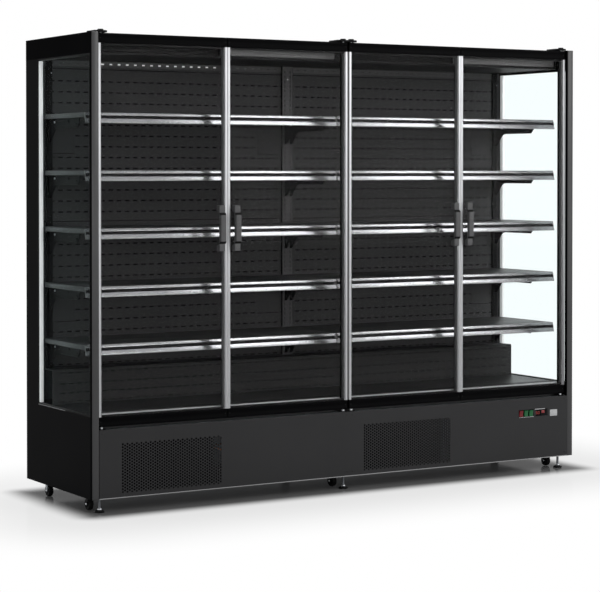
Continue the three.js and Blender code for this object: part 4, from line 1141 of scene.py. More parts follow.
@dataclass
class EndFrame(SubAssembly):
    """A painted end with its double-glazed window."""

    side: int = -1  # -1 at the left, 1 at the right
    pane: float = 4.0
    strip_y: Pair = (202.0, 222.0)
    bead: float = 9.0  # width of the black spacer round the window
    lip: float = 4.2  # width of the rubber lips
    post_width: float = 32.0
    post_depth: float = 19.4
    rim_front: float = -60.0  # where the bright rim under the window begins
    shade_strip: float = 0.8  # black strip of painted shade down each side of the post

    @property
    def name(self) -> str:
        """The end's name in the CAD nodes."""
        return "left" if self.side < 0 else "right"

    def inwards(self, x: Pair, near: float, far: float) -> Pair:
        """A stretch of the end's thickness, given by two distances in from its outer face."""
        return (x[0] + near, x[0] + far) if self.side < 0 else (x[1] - far, x[1] - near)

    def build(self) -> None:
        """Paint, panes, spacer and the white strip down the window's back edge."""
        self.frame()
        x, y, z = spans(f"{self.name}_end_glass")
        panes = Shape(f"{self.name}_end_panes")
        for pane in ends(x, self.pane):
            panes.block(pane, y, z, END_GLASS, 0.4, 1)
        panes.piece("cabinet", [f"{self.name}_end_glass"])
        gap, inner = inset(x, self.pane + 0.1), inset(z, self.bead)
        trim = Shape(f"{self.name}_window_trim")
        for height in ends(z, self.bead):
            trim.block(gap, y, height, BLACK_PLASTIC)
        trim.block(gap, (y[0], y[0] + self.bead), inner, BLACK_PLASTIC)
        trim.block(gap, self.strip_y, inner, EDGE_LIGHT, 1.0)
        self.hold(trim, x, y, z)
        rim = self.inwards(x, -0.6, 0.6)
        trim.block(rim, (self.rim_front, self.strip_y[1]), (z[0] - 0.2, z[0] + 1.4), PLATE_AND_HIGHLIGHT, 0.3, 1)
        trim.piece("cabinet")

    def frame(self) -> None:
        """The folded end panel round its window, and the glossier post down its front edge."""
        x, y, z = spans(f"{self.name}_end_frame")
        _, window_y, window_z = spans(f"{self.name}_end_glass")
        back = y[0] + self.post_depth
        shape = Shape(f"{self.name}_end_panel")
        window = ([(back - 1, window_y[1] + 0.3)], [inset(window_z, -0.3)])
        # The end panel in a darker copy of the coat, as painted shade.
        shape.lattice(Axis.X, (back - 1, y[1]), z, self.inwards(x, 0.4, 22), [window], END_SHADE_PAINT)
        # Painted shade: a black strip over the end panel's top edge.
        shape.block(self.inwards(x, 0, 1.2), (back, y[1]), (window_z[1] + 0.5, z[1]), SHADE_BLACK_PAINT, 0.3, 1)
        shape.piece("cabinet")
        post = Shape(f"{self.name}_front_post")
        near, far = self.inwards(x, self.shade_strip, self.post_width - self.shade_strip)[:: -self.side]
        outline = [(near, y[0] + 0.1), (far + 3 * self.side, y[0]), (far, y[0] + 1.2), (far, back),
                   (near, back)]
        # The post's coat is painted a shade lighter than the sheets, as a painted highlight.
        post.prism(outline, Axis.Z, z, POST_HIGHLIGHT_PAINT, 1.4, 3)
        # Painted shade: black strips down both sides of the post.
        for start in (0.0, self.post_width - self.shade_strip):
            edge = self.inwards(x, start, start + self.shade_strip)
            post.block(edge, (y[0] + 1.6, back), z, SHADE_BLACK_PAINT, 0.25, 1)
        post.piece("cabinet", [f"{self.name}_end_frame"])

    def hold(self, shape: Shape, x: Pair, y: Pair, z: Pair) -> None:
        """Rubber lips that seal the panes to the frame, seen as a thin dark line.

        Args:
            shape: The piece that receives them.
            x: The window's two faces.
            y: Its two ends in depth.
            z: Its two ends upwards.
        """
        lip = self.inwards(x, -0.4, 0.6)
        for height in ends(inset(z, -0.2), self.lip):
            shape.block(lip, inset(y, -0.2), height, RUBBER, 0.3, 1)
        for depth in ends(inset(y, -0.2), self.lip):
            shape.block(lip, depth, inset(z, self.lip - 0.2), RUBBER, 0.3, 1)


@dataclass
class Casing(SubAssembly):
    """Roof, back and the screws that hold them."""

    middle_row: float = 1000.0  # height of the back panel's middle row of screws
    seal_half: float = 3.4
    seal_y: Pair = (-284.0, -276.8)
    seal_z: Pair = (352.0, 1972.0)

    def build(self) -> None:
        """Dresses the sheets and adds their fixings."""
        dress("roof_panel", DARK_PAINT)
        dress("outer_back_panel", ZINC)
        dress("base_chassis", ZINC)
        self.back_fixings()
        self.roof_fixings()
        self.middle_seal()

    def middle_seal(self) -> None:
        """The grey strip between deck and roof that closes the gap between the two middle doors."""
        shape = Shape("middle_seal_strip")
        shape.block(around(0.0, self.seal_half), self.seal_y, self.seal_z, EDGE_SEAL, 0.8)
        shape.piece("cabinet")

    def back_fixings(self) -> None:
        """Screws round the back panel and along its middle."""
        x, y, z = spans("outer_back_panel")
        shape = Shape("back_fixings")
        for left in spread(x, 18, 9):
            for height in (z[0] + 14, self.middle_row, z[1] - 14):
                shape.screw((left, y[1] - 2.1, height), Axis.Y, 1.0, 4.5, PLATED)
        shape.piece("cabinet")

    def roof_fixings(self) -> None:
        """A row of screws along both long edges of the roof."""
        x, y, z = spans("roof_panel")
        shape = Shape("roof_fixings")
        for left in spread(x, 60, 8):
            for depth in (y[0] + 40, y[1] - 16):
                shape.screw((left, depth, z[1]), Axis.Z, 1.0, 4.5, BLACK_PLASTIC)
        shape.piece("cabinet")


@dataclass
class RearWall(SubAssembly):
    """The slotted sheet in front of the cold-air duct, stepping forward over the evaporator."""

    slot_length: float = 24.5
    slot_height: float = 6.6
    slot_pitch: float = 40.0
    row_pitch: float = 47.67
    strip_row: float = 1880.0
    seams: Pair = (1856.0, 1190.0)  # each sheet hangs below a seam
    sheet_rows: int = 13
    first_row: float = 53.0  # below its seam
    box_rows: tuple[float, float, float, float] = (538.0, 492.0, 452.0, 415.0)
    patch_x: tuple[Pair, Pair, Pair] = ((-1183.0, -1076.0), (-155.0, -48.0), (1058.0, 1165.0))
    patch_z: tuple[Pair, Pair] = ((755.0, 870.0), (1489.0, 1612.0))
    front: float = 225.0  # the upper sheet's front face
    box_top: float = 555.0
    box_slot_height: float = 6.4
    lit_slot_length: float = 14.0

    def build(self) -> None:
        """Upper sheet, lower box, seams, patches and the lit strip."""
        x, y, z = spans("rear_duct_panel")
        front = self.front
        shape = Shape("rear_wall")
        rows = [seam - self.first_row - row * self.row_pitch
                for seam in self.seams for row in range(self.sheet_rows)]
        sheet = ((front, front + 3), (self.box_top, z[1]))
        self.slotted(shape, x, *sheet, [self.strip_row, *rows], self.slot_height, INNER_PAINT)
        # A black sheet of painted shade behind the upper sheet's slots.
        shade_backing = (self.box_top + 2, self.strip_row - 14)
        shape.block(inset(x, 2), (front + 4, front + 5.5), shade_backing, SEAM_AND_SHADE_BLACK, 0.4, 1)
        self.lower_box(shape, x, y[0], z[0])
        for seam in self.seams:
            shape.block(x, (front - 0.9, front), around(seam, 1.6), SEAM_AND_SHADE_BLACK, 0.3, 1)
            shape.block(x, (front - 1.3, front), (seam + 1.6, seam + 5.4), INNER_PAINT, 0.4, 1)
        self.patches(shape)
        shape.piece("cabinet", ["rear_duct_panel"])
        self.lit_strip(x)

    def slotted(
        self, shape: Shape, x: Pair, y: Pair, z: Pair, rows: Sequence[float], height: float, finish: Finish
    ) -> None:
        """A sheet with rows of short slots.

        Args:
            shape: The piece that receives it.
            x: The sheet's edges across.
            y: The sheet's two faces.
            z: The sheet's edges upwards.
            rows: Heights of the rows.
            height: Height of one slot.
            finish: What the sheet is made of.
        """
        tall = [around(row, height / 2) for row in rows]
        shape.lattice(Axis.Y, x, z, y, [(self.row_of_slots(x, self.slot_length), tall)], finish)

    def row_of_slots(self, x: Pair, length: float) -> list[Pair]:
        """The spans of one row of slots, centred on the wall.

        Args:
            x: The wall's edges across.
            length: Length of one slot.

        Returns:
            The two ends of each slot.
        """
        count = int((x[1] - x[0] - 30) / self.slot_pitch)
        first = (self.slot_pitch - length - count * self.slot_pitch) / 2
        return [(first + i * self.slot_pitch, first + i * self.slot_pitch + length) for i in range(count)]

    def lower_box(self, shape: Shape, x: Pair, face: float, foot: float) -> None:
        """The box over the evaporator: a slotted front, a rounded top edge and a black sheet of painted shade
        behind the slots.

        Args:
            shape: The piece that receives it.
            x: Its two ends.
            face: Its front face.
            foot: Its lower edge.
        """
        top, under, back = self.box_top, self.box_top - 9, self.front + 3
        side = [(face, under), (face + 3, under), (face + 3, top - 3), (back, top - 3), (back, top),
                (face, top)]
        # The box in paint darker than the wall, as painted shade.
        shape.prism(side, Axis.X, x, BOX_SHADE_PAINT, 1.2, 3)
        self.slotted(shape, x, (face, face + 3), (foot, under), self.box_rows, self.box_slot_height, BOX_SHADE_PAINT)
        # A black sheet of painted shade behind the box's slots.
        shape.block(inset(x, 2), (face + 6, face + 7.5), (foot + 1, top - 4), SEAM_AND_SHADE_BLACK, 0.4, 1)

    def patches(self, shape: Shape) -> None:
        """Blank cover plates over the joints of the wall, each with a black line of painted shadow under its
        foot.

        Args:
            shape: The piece that receives them.
        """
        front = self.front
        for wide in self.patch_x:
            for tall in self.patch_z:
                shape.block(wide, (front - 1.6, front), tall, INNER_PAINT, 0.6)
                # A black line of painted shadow under the plate's foot.
                shape.block(wide, (front - 1.0, front), (tall[0] - 3.0, tall[0] - 0.2), SEAM_AND_SHADE_BLACK, 0.3, 1)

    def lit_strip(self, x: Pair) -> None:
        """A band under the canopy, painted pale as painted light, with the light that shows through its slots.

        Args:
            x: The wall's edges across.
        """
        front, height = self.front, self.strip_row
        shape = Shape("rear_light_strip")
        slots = (self.row_of_slots(x, self.lit_slot_length), [around(height, 3.0)])
        # The band is painted lighter than the wall, as painted light.
        band = (inset(x, 1), around(height, 13.0), (front - 2.0, front - 0.2))
        shape.lattice(Axis.Y, *band, [slots], BAND_LIGHT_PAINT)
        shape.piece("cabinet")
        glow = Shape("rear_light_diffuser")
        lengths = {
            (x[0] + 5, -948.0): DIM_DIFFUSER,
            (-947.0, -298.0): DIODE_GLOW,
            (-297.0, -140.0): DIFFUSER,
            (-139.0, x[1] - 5): DIM_DIFFUSER,
        }
        for length, finish in lengths.items():
            glow.block(length, (front + 3.4, front + 6.4), around(height, 8), finish, 0.5)
        glow.piece("cabinet")


@dataclass
class Uprights(SubAssembly):
    """The slotted channels that the shelf brackets hook into."""

    end_middle: float = 1197.0
    end_half: float = 14.0
    centre_half: float = 29.0
    slot_half: float = 2.2
    slot_height: float = 13.0
    slot_pitch: float = 22.0
    sheet: float = 2.0

    def build(self) -> None:
        """Three channels and the rails that join them, as one piece."""
        _, y, z = spans("upright_frame")
        shape = Shape("slotted_uprights")
        for middle in (-self.end_middle, 0.0, self.end_middle):
            self.channel(shape, middle, y, z)
        reach = (self.centre_half, self.end_middle - self.end_half)
        for height in ((z[0], z[0] + 4), (z[1] - 2.5, z[1])):
            for rail in ((-reach[1], -reach[0]), reach):
                shape.block(rail, (y[0] + 6, y[1]), height, BLACK_PAINT, 0.8)
        shape.piece("cabinet", ["upright_frame"])

    def channel(self, shape: Shape, middle: float, y: Pair, z: Pair) -> None:
        """One channel: a slotted face between two flanges, with its fixing bolts.

        Args:
            shape: The piece that receives it.
            middle: The channel's middle; the one at zero is the double one.
            y: Its front and back.
            z: Its two ends upwards.
        """
        double = middle == 0.0
        half = self.centre_half if double else self.end_half
        columns = (-14.0, 14.0) if double else (0.0,)
        wide = [around(middle + column, self.slot_half) for column in columns]
        tall = [(foot, foot + self.slot_height) for foot in steps(z[0] + 9, z[1] - 20, self.slot_pitch)]
        face, finish = (y[0], y[0] + self.sheet), UPRIGHT_PAINT if double else BLACK_PAINT
        shape.lattice(Axis.Y, around(middle, half - 2), z, face, [(wide, tall)], finish)
        for flange in ends(around(middle, half), self.sheet):
            shape.block(flange, (y[0] + 0.3, y[1]), z, SEAM_AND_SHADE_BLACK, 0.4)
        # A black strip of painted shade behind the slots.
        shape.block(around(middle, half - 4), (y[0] + 5, y[0] + 6), inset(z, 1), SEAM_AND_SHADE_BLACK, 0.3, 1)
        across, radius = (middle, 3.6) if double else (middle + 9, 2.6)
        for height in spread(z, 60, 6):
            shape.screw((across, y[0], height), Axis.Y, -1.0, radius, PLATED)


@dataclass
class Shelf(SubAssembly):
    """A tray on two hooked brackets, with a price rail across its front."""

    side: str
    level: int
    brackets: Pair
    top: float
    post_front: float = -330.0
    back: float = 209.4  # back edge of the tray
    skirt: float = 20.0
    seat: float = 214.4  # front face of the upright that the brackets hook into
    reach: float = 312.0  # length of a bracket
    sheet: float = 3.0  # thickness of a bracket

    def build(self) -> None:
        """Tray, brackets and price rail as one piece."""
        node = f"shelf_{self.side}_{self.level}"
        x = spans(node)[0]
        shape = Shape(f"{node}_tray")
        self.tray(shape, x)
        for middle in self.brackets:
            self.bracket(shape, middle)
        self.price_rail(shape, x)
        shape.piece("cabinet", [node])

    def tray(self, shape: Shape, x: Pair) -> None:
        """The folded tray with skirts at its ends and back, and ribs pressed along it.

        Args:
            shape: The piece that receives it.
            x: Its two ends.
        """
        front, back, top = self.post_front + 123, self.back, self.top
        skirt = (top - self.skirt, top - 1.5)
        shape.block(x, (front, back), (top - 2, top), SHELF_PAINT, 0.6)
        for end in ends(x, 2):
            shape.block(end, (front, back), skirt, SHELF_PAINT, 0.4)
        shape.block(x, (back - 2, back), skirt, SHELF_PAINT, 0.4)
        for depth in (front + 95, front + 195, front + 295):
            shape.block(inset(x, 30), around(depth, 11), (top - 5, top - 1.8), SHELF_PAINT, 0.8)

    def bracket(self, shape: Shape, middle: float) -> None:
        """A sheet bracket with two hooks in the upright and its bolts.

        Args:
            shape: The piece that receives it.
            middle: Its middle across.
        """
        seat, top = self.seat, self.top
        tip, arm, heel = seat - self.reach, top - 62, seat - 16
        curve = [(heel - 70 + 8 * i * 1.08, arm - 41 * (i / 6) ** 2.2) for i in range(1, 6)]
        side = [(seat, top - 1), (tip, top - 1), (tip, arm + 22), (tip + 22, arm), (heel - 70, arm), *curve,
                (heel, top - 119), (seat, top - 119)]
        sheet = around(middle, self.sheet / 2)
        shape.prism(side, Axis.X, sheet, BLACK_PAINT, 0.4, 1)
        for drop in (12, 88):
            shape.block(sheet, (seat - 1, 223.2), (top - drop - 14, top - drop), BLACK_PAINT, 0.3, 1)
        bolts = ((seat - 60, 34, PLATED), (seat - 205, 34, BLACK_PAINT), (tip + 26, 46, BLACK_PAINT))
        for depth, drop, finish in bolts:
            height = top - drop
            shape.rod((middle - 5, depth, height), (middle + 5, depth, height), 4.5, finish, 12, 0.8)

    def face(self, drop: float) -> float:
        """Where the price rail's sloping face lies, a drop below the shelf's top."""
        return self.post_front + 120 - 10 * drop / 44

    def price_rail(self, shape: Shape, x: Pair) -> None:
        """Two bright lips with the dark label channel between them, closed by end caps.

        Args:
            shape: The piece that receives it.
            x: Its two ends.
        """
        face, top = self.face, self.top
        lip, back = self.post_front + 125.5, face(44) + 5.5
        dark = [(face(10) + 3, top - 10), (face(26) + 3, top - 26), (back, top - 43), (lip, top - 2),
                (lip - 2.5, top - 2)]
        upper = [(face(0) + 0.6, top), (face(2) - 0.4, top - 2), (face(10.5) - 0.4, top - 10.5),
                 (face(12), top - 12), (face(12) + 4, top - 12), (lip, top - 4), (lip, top)]
        lower = [(face(25), top - 25), (face(26.5) - 0.4, top - 26.5), (face(41) - 0.4, top - 41),
                 (face(44) + 1.6, top - 44), (back, top - 44), (back, top - 40), (face(25) + 4, top - 26)]
        shape.prism(dark, Axis.X, inset(x, 1.5), LABEL_BLACK, 0.3, 1)
        for bright in (upper, lower):
            shape.prism(bright, Axis.X, inset(x, 1.5), RAIL_METAL, 0.6)
        cap = [(lip, top), (face(0) - 0.1, top), (face(44) - 0.1, top - 44), (back, top - 44)]
        for end in ends(x, 2.5):
            shape.prism(cap, Axis.X, end, HANDLE_PLASTIC, 0.4, 1)


@dataclass
class Canopy(SubAssembly):
    """The air canopy with its honeycomb outlet, and the light strip along its front."""

    strip_z: Pair = (1907.0, 1937.0)
    cells: int = 150  # openings of the outlet across
    wall: float = 5.4  # the outlet's openings and bars in depth

    def build(self) -> None:
        """Dresses the canopy and adds the strip behind each door."""
        dress("canopy", CANOPY_PAINT)
        x, y, z = spans("canopy")
        foot, head = self.strip_z
        shape = Shape("canopy_light_strip")
        front, back = y[0] - 9.0, y[0] - 0.2
        profile = [(back, foot - 2), (front, foot), (front, head), (back, head + 2)]
        lit = {
            (-1205.0, -620.0): CANOPY_PAINT,
            (-600.0, -25.0): DIFFUSER,
            (25.0, 600.0): CANOPY_PAINT,
            (620.0, 1205.0): DIFFUSER,
        }
        for span, finish in lit.items():
            shape.prism(profile, Axis.X, span, finish, 0.8)
            for cap in ends(inset(span, -6), 6):
                shape.prism(profile, Axis.X, cap, BLACK_PLASTIC, 0.5)
        shape.piece("cabinet")
        self.outlet(x, y[0] + 16, z[0])

    def outlet(self, x: Pair, front: float, under: float) -> None:
        """The black honeycomb that the cold air falls through, just behind the front edge.

        Args:
            x: The canopy's two ends.
            front: Where the honeycomb begins.
            under: The canopy's underside.
        """
        shape = Shape("canopy_outlet")
        across, deep = inset(x, 20), (front, front + 7 * self.wall)
        cells = (comb(across, self.cells), comb(deep, 3))
        shape.lattice(Axis.Z, across, deep, (under - 1.6, under - 0.3), [cells], BLACK_PLASTIC)
        shape.piece("cabinet")


@dataclass
class Deck(SubAssembly):
    """The insulated floor of the cold space, with the return-air grille along its front."""

    bars: int = 190  # openings of the return grille across

    def build(self) -> None:
        """Dresses the deck and adds the trim and the grille."""
        dress("base_deck", DECK_PAINT)
        dress("evaporator", FIN_METAL)
        x, y, z = spans("base_deck")
        front, top = y[0], z[1]
        shape = Shape("deck_trim")
        side = [(front - 0.6, top - 9), (front - 0.6, top + 1.6), (front + 14, top + 1.6),
                (front + 14, top + 0.1), (front - 0.05, top + 0.1), (front - 0.05, top - 9)]
        shape.prism(side, Axis.X, inset(x, 12), TRIM_METAL, 0.3, 1)
        across = inset(x, 14)
        slots = (comb(across, self.bars), [(front + 24, front + 46), (front + 52, front + 74)])
        sheet = ((front + 18, front + 80), (top + 0.4, top + 1.8))
        shape.lattice(Axis.Z, across, *sheet, [slots], SHELF_PAINT)
        shape.piece("cabinet")


@dataclass
class GlassDoor(SubAssembly):
    """A hinged door: silver stiles, black rails, double glazing and a moulded handle."""

    number: int
    hinge_left: bool
    stile: float = 10.4  # width of the bright face
    rail: float = 41.0
    pane: float = 4.0
    band: float = 2.4  # spacer inside each stile, between the panes
    gasket: float = 5.2
    hinge_gap: float = 10.0  # from the hinge edge to the gasket, so that it clears the cabinet
    free_gap: float = 3.0

    @property
    def body(self) -> str:
        """The door's CAD body."""
        return f"door_{self.number}"

    def build(self) -> None:
        """Frame, glazing and handle, each on the door's own body."""
        self.frame()
        self.glazing()
        self.handle()

    def frame(self) -> None:
        """Silver stiles between two black rails, corner screws, bumpers and the gasket behind."""
        x, y, z = spans(f"{self.body}_frame")
        front, back = y
        shape = Shape(f"{self.body}_profile")
        inner = inset(z, self.rail)
        self.stile_at(shape, x[0], 1, front, inner)
        self.stile_at(shape, x[1], -1, front, inner)
        for low, high in ends(z, self.rail):
            side = [(front + 0.8, low), (front, low + 1), (front, low + 12), (front + 1.2, low + 13),
                    (front + 1.2, high - 13), (front, high - 12), (front, high - 1), (front + 0.8, high),
                    (back, high), (back, low)]
            shape.prism(side, Axis.X, x, BLACK_ANODISED, 0.4, 1)
            for end in inset(x, 9):
                shape.screw((end, front + 1.2, (low + high) / 2), Axis.Y, -1.0, 2.6, BLACK_PLASTIC)
        self.seal(shape, x, back, z)
        free, hinged = (x[0] - 1.2, x[0]), (x[1], x[1] + 0.5)
        if self.hinge_left:
            free, hinged = (x[1], x[1] + 1.2), (x[0] - 0.5, x[0])
        shape.block(free, (front + 0.2, back - 6), inner, BUMPER, 0.2, 1)
        shape.block(hinged, (front + 0.4, front + 15), inner, BUMPER)
        shape.piece(self.body, [f"{self.body}_frame"])

    def stile_at(self, shape: Shape, edge: float, way: int, front: float, z: Pair) -> None:
        """A drawn stile with a flat bright face.

        Args:
            shape: The piece that receives it.
            edge: Its outer edge.
            way: One where it reaches towards +X from there, minus one where it reaches back.
            front: Its face.
            z: Its two ends.
        """
        wide = self.stile
        face = [(0.0, 0.3), (0.4, 0.0), (wide - 0.4, 0.0), (wide, 0.3), (wide, 4.9), (12.0, 4.9),
                (12.0, 30.0), (0.0, 30.0)]
        outline = [(edge + way * across, front + deep) for across, deep in face]
        shape.prism(outline, Axis.Z, z, STILE_METAL, 0.3)

    def seal(self, shape: Shape, x: Pair, back: float, z: Pair) -> None:
        """The soft magnetic gasket round the back of the frame.

        Args:
            shape: The piece that receives it.
            x: The frame's two edges across.
            back: The frame's back.
            z: The frame's two ends upwards.
        """
        gaps = (self.free_gap, self.hinge_gap)
        left, right = reversed(gaps) if self.hinge_left else gaps
        across, up, depth = (x[0] + left, x[1] - right), inset(z, 10), (back - 0.2, back + self.gasket)
        for height in ends(up, 14):
            shape.block(across, depth, height, RUBBER, 1.6)
        for side in ends(across, 8.5):
            shape.block(side, depth, inset(up, 14), RUBBER, 1.6)

    def glazing(self) -> None:
        """Two panes, and the grey spacer that shows along each stile."""
        x, y, z = spans(f"{self.body}_glass")
        front, back = ends(y, self.pane)
        shape = Shape(f"{self.body}_panes")
        shape.block(inset(x, self.stile - 12.3), front, z, DOOR_GLASS, 0.3, 1)
        shape.block(x, back, z, DOOR_GLASS, 0.3, 1)
        shape.piece(self.body, [f"{self.body}_glass"])
        spacer = Shape(f"{self.body}_spacer")
        gap = inset(y, self.pane + 0.1)
        for side in ends(x, self.band):
            spacer.block(side, gap, z, SPACER, 0.6)
        for height in ends(z, 7):
            spacer.block(inset(x, self.band), gap, height, BLACK_PLASTIC, 0.6)
        spacer.piece(self.body)

    def handle(self) -> None:
        """A bow handle: a long grip between two end blocks, parted by black lines of painted shade."""
        x, (grip, seat), z = spans(f"{self.body}_handle")
        shoulder, gap, middle = seat - 23, seat - 19, sum(x) / 2
        low, high = inset(z, 33)
        shape = Shape(f"{self.body}_grip")
        for foot, head, slope in ((z[0], low, -10), (z[1], high, 10)):
            block = [(seat, foot), (seat, head + slope), (gap, head), (shoulder, head), (shoulder, foot)]
            shape.prism(block, Axis.X, inset(x, 0.9), HANDLE_PLASTIC, 2.2, 3)
        side = [(gap, low - 1), (gap, high + 1), (shoulder, high), (grip, high - 10), (grip, low + 10),
                (shoulder, low)]
        shape.prism(side, Axis.X, x, HANDLE_PLASTIC, 2.6, 3)
        # Painted shade: black lines where the grip leaves the end blocks.
        for height, way in ((low, 1), (high, -1)):
            line = [(shoulder - 0.5, height - 1.2 * way), (grip + 1.6, height + 7.4 * way),
                    (grip + 1.6, height + 12 * way), (shoulder - 0.5, height + 3.6 * way)]
            shape.prism(line, Axis.X, inset(x, -0.2), SEAM_AND_SHADE_BLACK, 0.4, 1)
        plug = [(0, -0.4), (4.2, -0.4), (4.2, 0.5), (3.6, 0.9), (0, 0.9)]
        for height in inset(z, 12):
            shape.turned(plug, Axis.Y, (middle, shoulder - 0.6, height), HANDLE_PLASTIC, 16)
        for vert in shape.mesh.verts:
            seated = (vert.co.y - grip) / (seat - grip)
            vert.co.x = middle + (vert.co.x - middle) * (0.94 + 0.4 * seated)
        shape.piece(self.body, [f"{self.body}_handle"])


@dataclass
class Hinges(SubAssembly):
    """The hinge plates over and under the doors."""

    pivots: tuple[float, float, float, float] = (-1197.0, -21.0, 21.0, 1197.0)
    pivot_y: float = -303.0
    top_z: Pair = (1980.3, 1988.3)  # the upper plates' faces
    pin_foot: float = 1957.0  # lower end of the upper pins

    def build(self) -> None:
        """Replaces each plate with a bevelled one, with screws, bosses and bright pins."""
        places = {"left": self.pivots[:1], "centre": self.pivots[1:3], "right": self.pivots[3:]}
        for place, pivots in places.items():
            self.top(place, pivots)
            self.bottom(place, pivots)

    def plate(self, shape: Shape, x: Pair, y: Pair, z: Pair) -> None:
        """A black plate with chamfered front corners.

        Args:
            shape: The piece that receives it.
            x: Its two ends across.
            y: Its front and back.
            z: Its two faces.
        """
        corner = 12.0
        outline = [(x[0], y[1]), (x[0], y[0] + corner), (x[0] + corner, y[0]), (x[1] - corner, y[0]),
                   (x[1], y[0] + corner), (x[1], y[1])]
        shape.prism(outline, Axis.Z, z, BLACK_PAINT, 0.8)

    def top(self, place: str, pivots: Sequence[float]) -> None:
        """The black upper plate, bolted to the roof.

        Args:
            place: Where it is, as in the CAD node's name.
            pivots: The hinge axes that it carries.
        """
        x, y, _ = spans(f"top_hinge_{place}")
        face = self.top_z[1]
        shape = Shape(f"upper_hinge_{place}")
        self.plate(shape, x, y, self.top_z)
        boss = [(0, 0.0), (12.5, 0.0), (12.5, 4.0), (11.5, 5.0), (4.5, 5.0), (4.0, 3.6), (0, 3.6)]
        for pivot in pivots:
            shape.turned(boss, Axis.Z, (pivot, self.pivot_y, face - 0.05), BLACK_PAINT)
            shape.rod((pivot, self.pivot_y, self.pin_foot), (pivot, self.pivot_y, face - 1), 4.0, PLATED)
        for left in spread(x, 12, 2 * len(pivots)):
            shape.screw((left, y[1] - 12, face), Axis.Z, 1.0, 5.0, PLATED)
        shape.piece("cabinet", [f"top_hinge_{place}"])

    def bottom(self, place: str, pivots: Sequence[float]) -> None:
        """The black lower plate, with the bright collar that carries the door, and its pin.

        Args:
            place: Where it is, as in the CAD node's name.
            pivots: The hinge axes that it carries.
        """
        x, y, (foot, _) = spans(f"bottom_hinge_{place}")
        shape = Shape(f"lower_hinge_{place}")
        self.plate(shape, x, y, (foot, foot + 4))
        collar = [(0, 0.0), (8, 0.0), (8, 6.4), (7.2, 7.3), (4, 7.3), (4, 26.0), (3.2, 27.3), (0, 27.3)]
        for pivot in pivots:
            shape.turned(collar, Axis.Z, (pivot, self.pivot_y, foot + 3.9), PLATED)
        shape.piece("cabinet", [f"bottom_hinge_{place}"])


@dataclass
class Caster(SubAssembly):
    """A castor wheel with a tyre, hub and axle; at the front in a swivelling fork."""

    place: str
    front: bool
    radius: float = 25.0
    half: float = 10.0  # half of the wheel's width
    trail: float = 15.0  # from the swivel axis back to the wheel's axle
    crown: float = 56.6  # top of the fork's round plate

    def build(self) -> None:
        """Wheel, and fork where it swivels."""
        node = f"{'front' if self.front else 'rear'}_caster_wheel_{self.place}"
        self.wheel(node)
        if self.front:
            self.fork(f"front_caster_fork_{self.place}")

    def wheel(self, node: str) -> None:
        """A rounded tyre on a moulded wheel.

        Args:
            node: The wheel's CAD node.
        """
        middle = tuple(sum(span) / 2 for span in spans(node))
        shape = Shape(f"{node}_tyre")
        r, h = self.radius, self.half
        tread = [(15, 8.5), (20, h), (23, h), (24.4, 8.4), (r, 6)]
        hub = [(4.4, 9.4), (8, 9.4), (9, 7.4), (15.2, 6.4)]
        for side, finish, steps_round in ((tread, RUBBER, 40), (hub, BLACK_PLASTIC, 32)):
            mirrored = [(radius, -out) for radius, out in side]
            shape.turned([*mirrored, *side[::-1], mirrored[0]], Axis.X, middle, finish, steps_round)
        shape.piece(node, [node])
        self.axle(node, middle)

    def axle(self, node: str, middle: Point) -> None:
        """The bright axle with a domed nut at both ends, which rides with the fork or the chassis.

        Args:
            node: The wheel's CAD node.
            middle: The wheel's middle.
        """
        owner = f"front_caster_fork_{self.place}" if self.front else "cabinet"
        shape = Shape(f"{node}_axle")
        reach = self.half + 4.0
        nut = [(4.0, 0.0), (5.4, 0.0), (4.6, 1.6), (2.6, 3.0), (0, 3.4)]
        profile = [(r, -reach - h) for r, h in reversed(nut)] + [(r, reach + h) for r, h in nut]
        shape.turned(profile, Axis.X, middle, PLATED, 20)
        shape.piece(owner)

    def fork(self, node: str) -> None:
        """A pressed fork under a round swivel plate.

        Args:
            node: The fork's CAD node.
        """
        top = spans(node)[2][1]
        wheel_x, axle_y, axle_z = (sum(span) / 2 for span in spans(f"front_caster_wheel_{self.place}"))
        pin_y, crown = axle_y - self.trail, self.crown
        shape = Shape(f"{node}_cheeks")
        disc = [(0, crown - 3), (18.4, crown - 3), (19, crown - 2.4), (19, crown - 0.6), (18, crown),
                (12, crown), (12, crown + 3), (0, crown + 3)]
        shape.turned(disc, Axis.Z, (wheel_x, pin_y, 0), BLACK_PAINT, 28)
        shape.rod((wheel_x, pin_y, crown - 4), (wheel_x, pin_y, top), 6.0, PLATED, 20)
        eye = [(7, 4), (6.5, -2), (3.5, -6), (-3.5, -6), (-6.5, -2), (-7, 4)]
        shoulders = [(pin, crown - 1) for pin in around(pin_y, 12)]
        side = [*shoulders, *((axle_y + u, axle_z + v) for u, v in eye)]
        for cheek in ends(around(wheel_x, 14), 3):
            shape.prism(side, Axis.X, cheek, BLACK_PAINT, 0.5)
        shape.piece(node, [node])


@dataclass
class LevellingFoot(SubAssembly):
    """A threaded foot on a round pad."""

    place: str

    def build(self) -> None:
        """Pad, nut and a stem with its thread."""
        node = f"levelling_foot_{self.place}"
        x, y, (foot, top) = spans(node)
        middle = (sum(x) / 2, sum(y) / 2, 0.0)
        shape = Shape(f"{node}_pad")
        pad = [(0, 0), (19.4, 0), (20, 0.8), (20, 5), (18.6, 7.4), (9.5, 10), (0, 10)]
        shape.turned([(r, foot + h) for r, h in pad], Axis.Z, middle, RUBBER, 36)
        nut = [(0, 9.5), (9.6, 9.5), (10.2, 10.4), (10.2, 15.2), (9.6, 16.2), (0, 16.2)]
        shape.turned(nut, Axis.Z, middle, PLATED, 6)
        thread = [(0.0, 15.8)]
        for height in steps(16.0, top - 1.6, 1.5):
            thread += [(5.2, height), (5.9, height + 0.75)]
        thread.append((0.0, top - 0.4))
        shape.turned(thread, Axis.Z, middle, STEM_METAL, 20)
        shape.piece(node, [node])


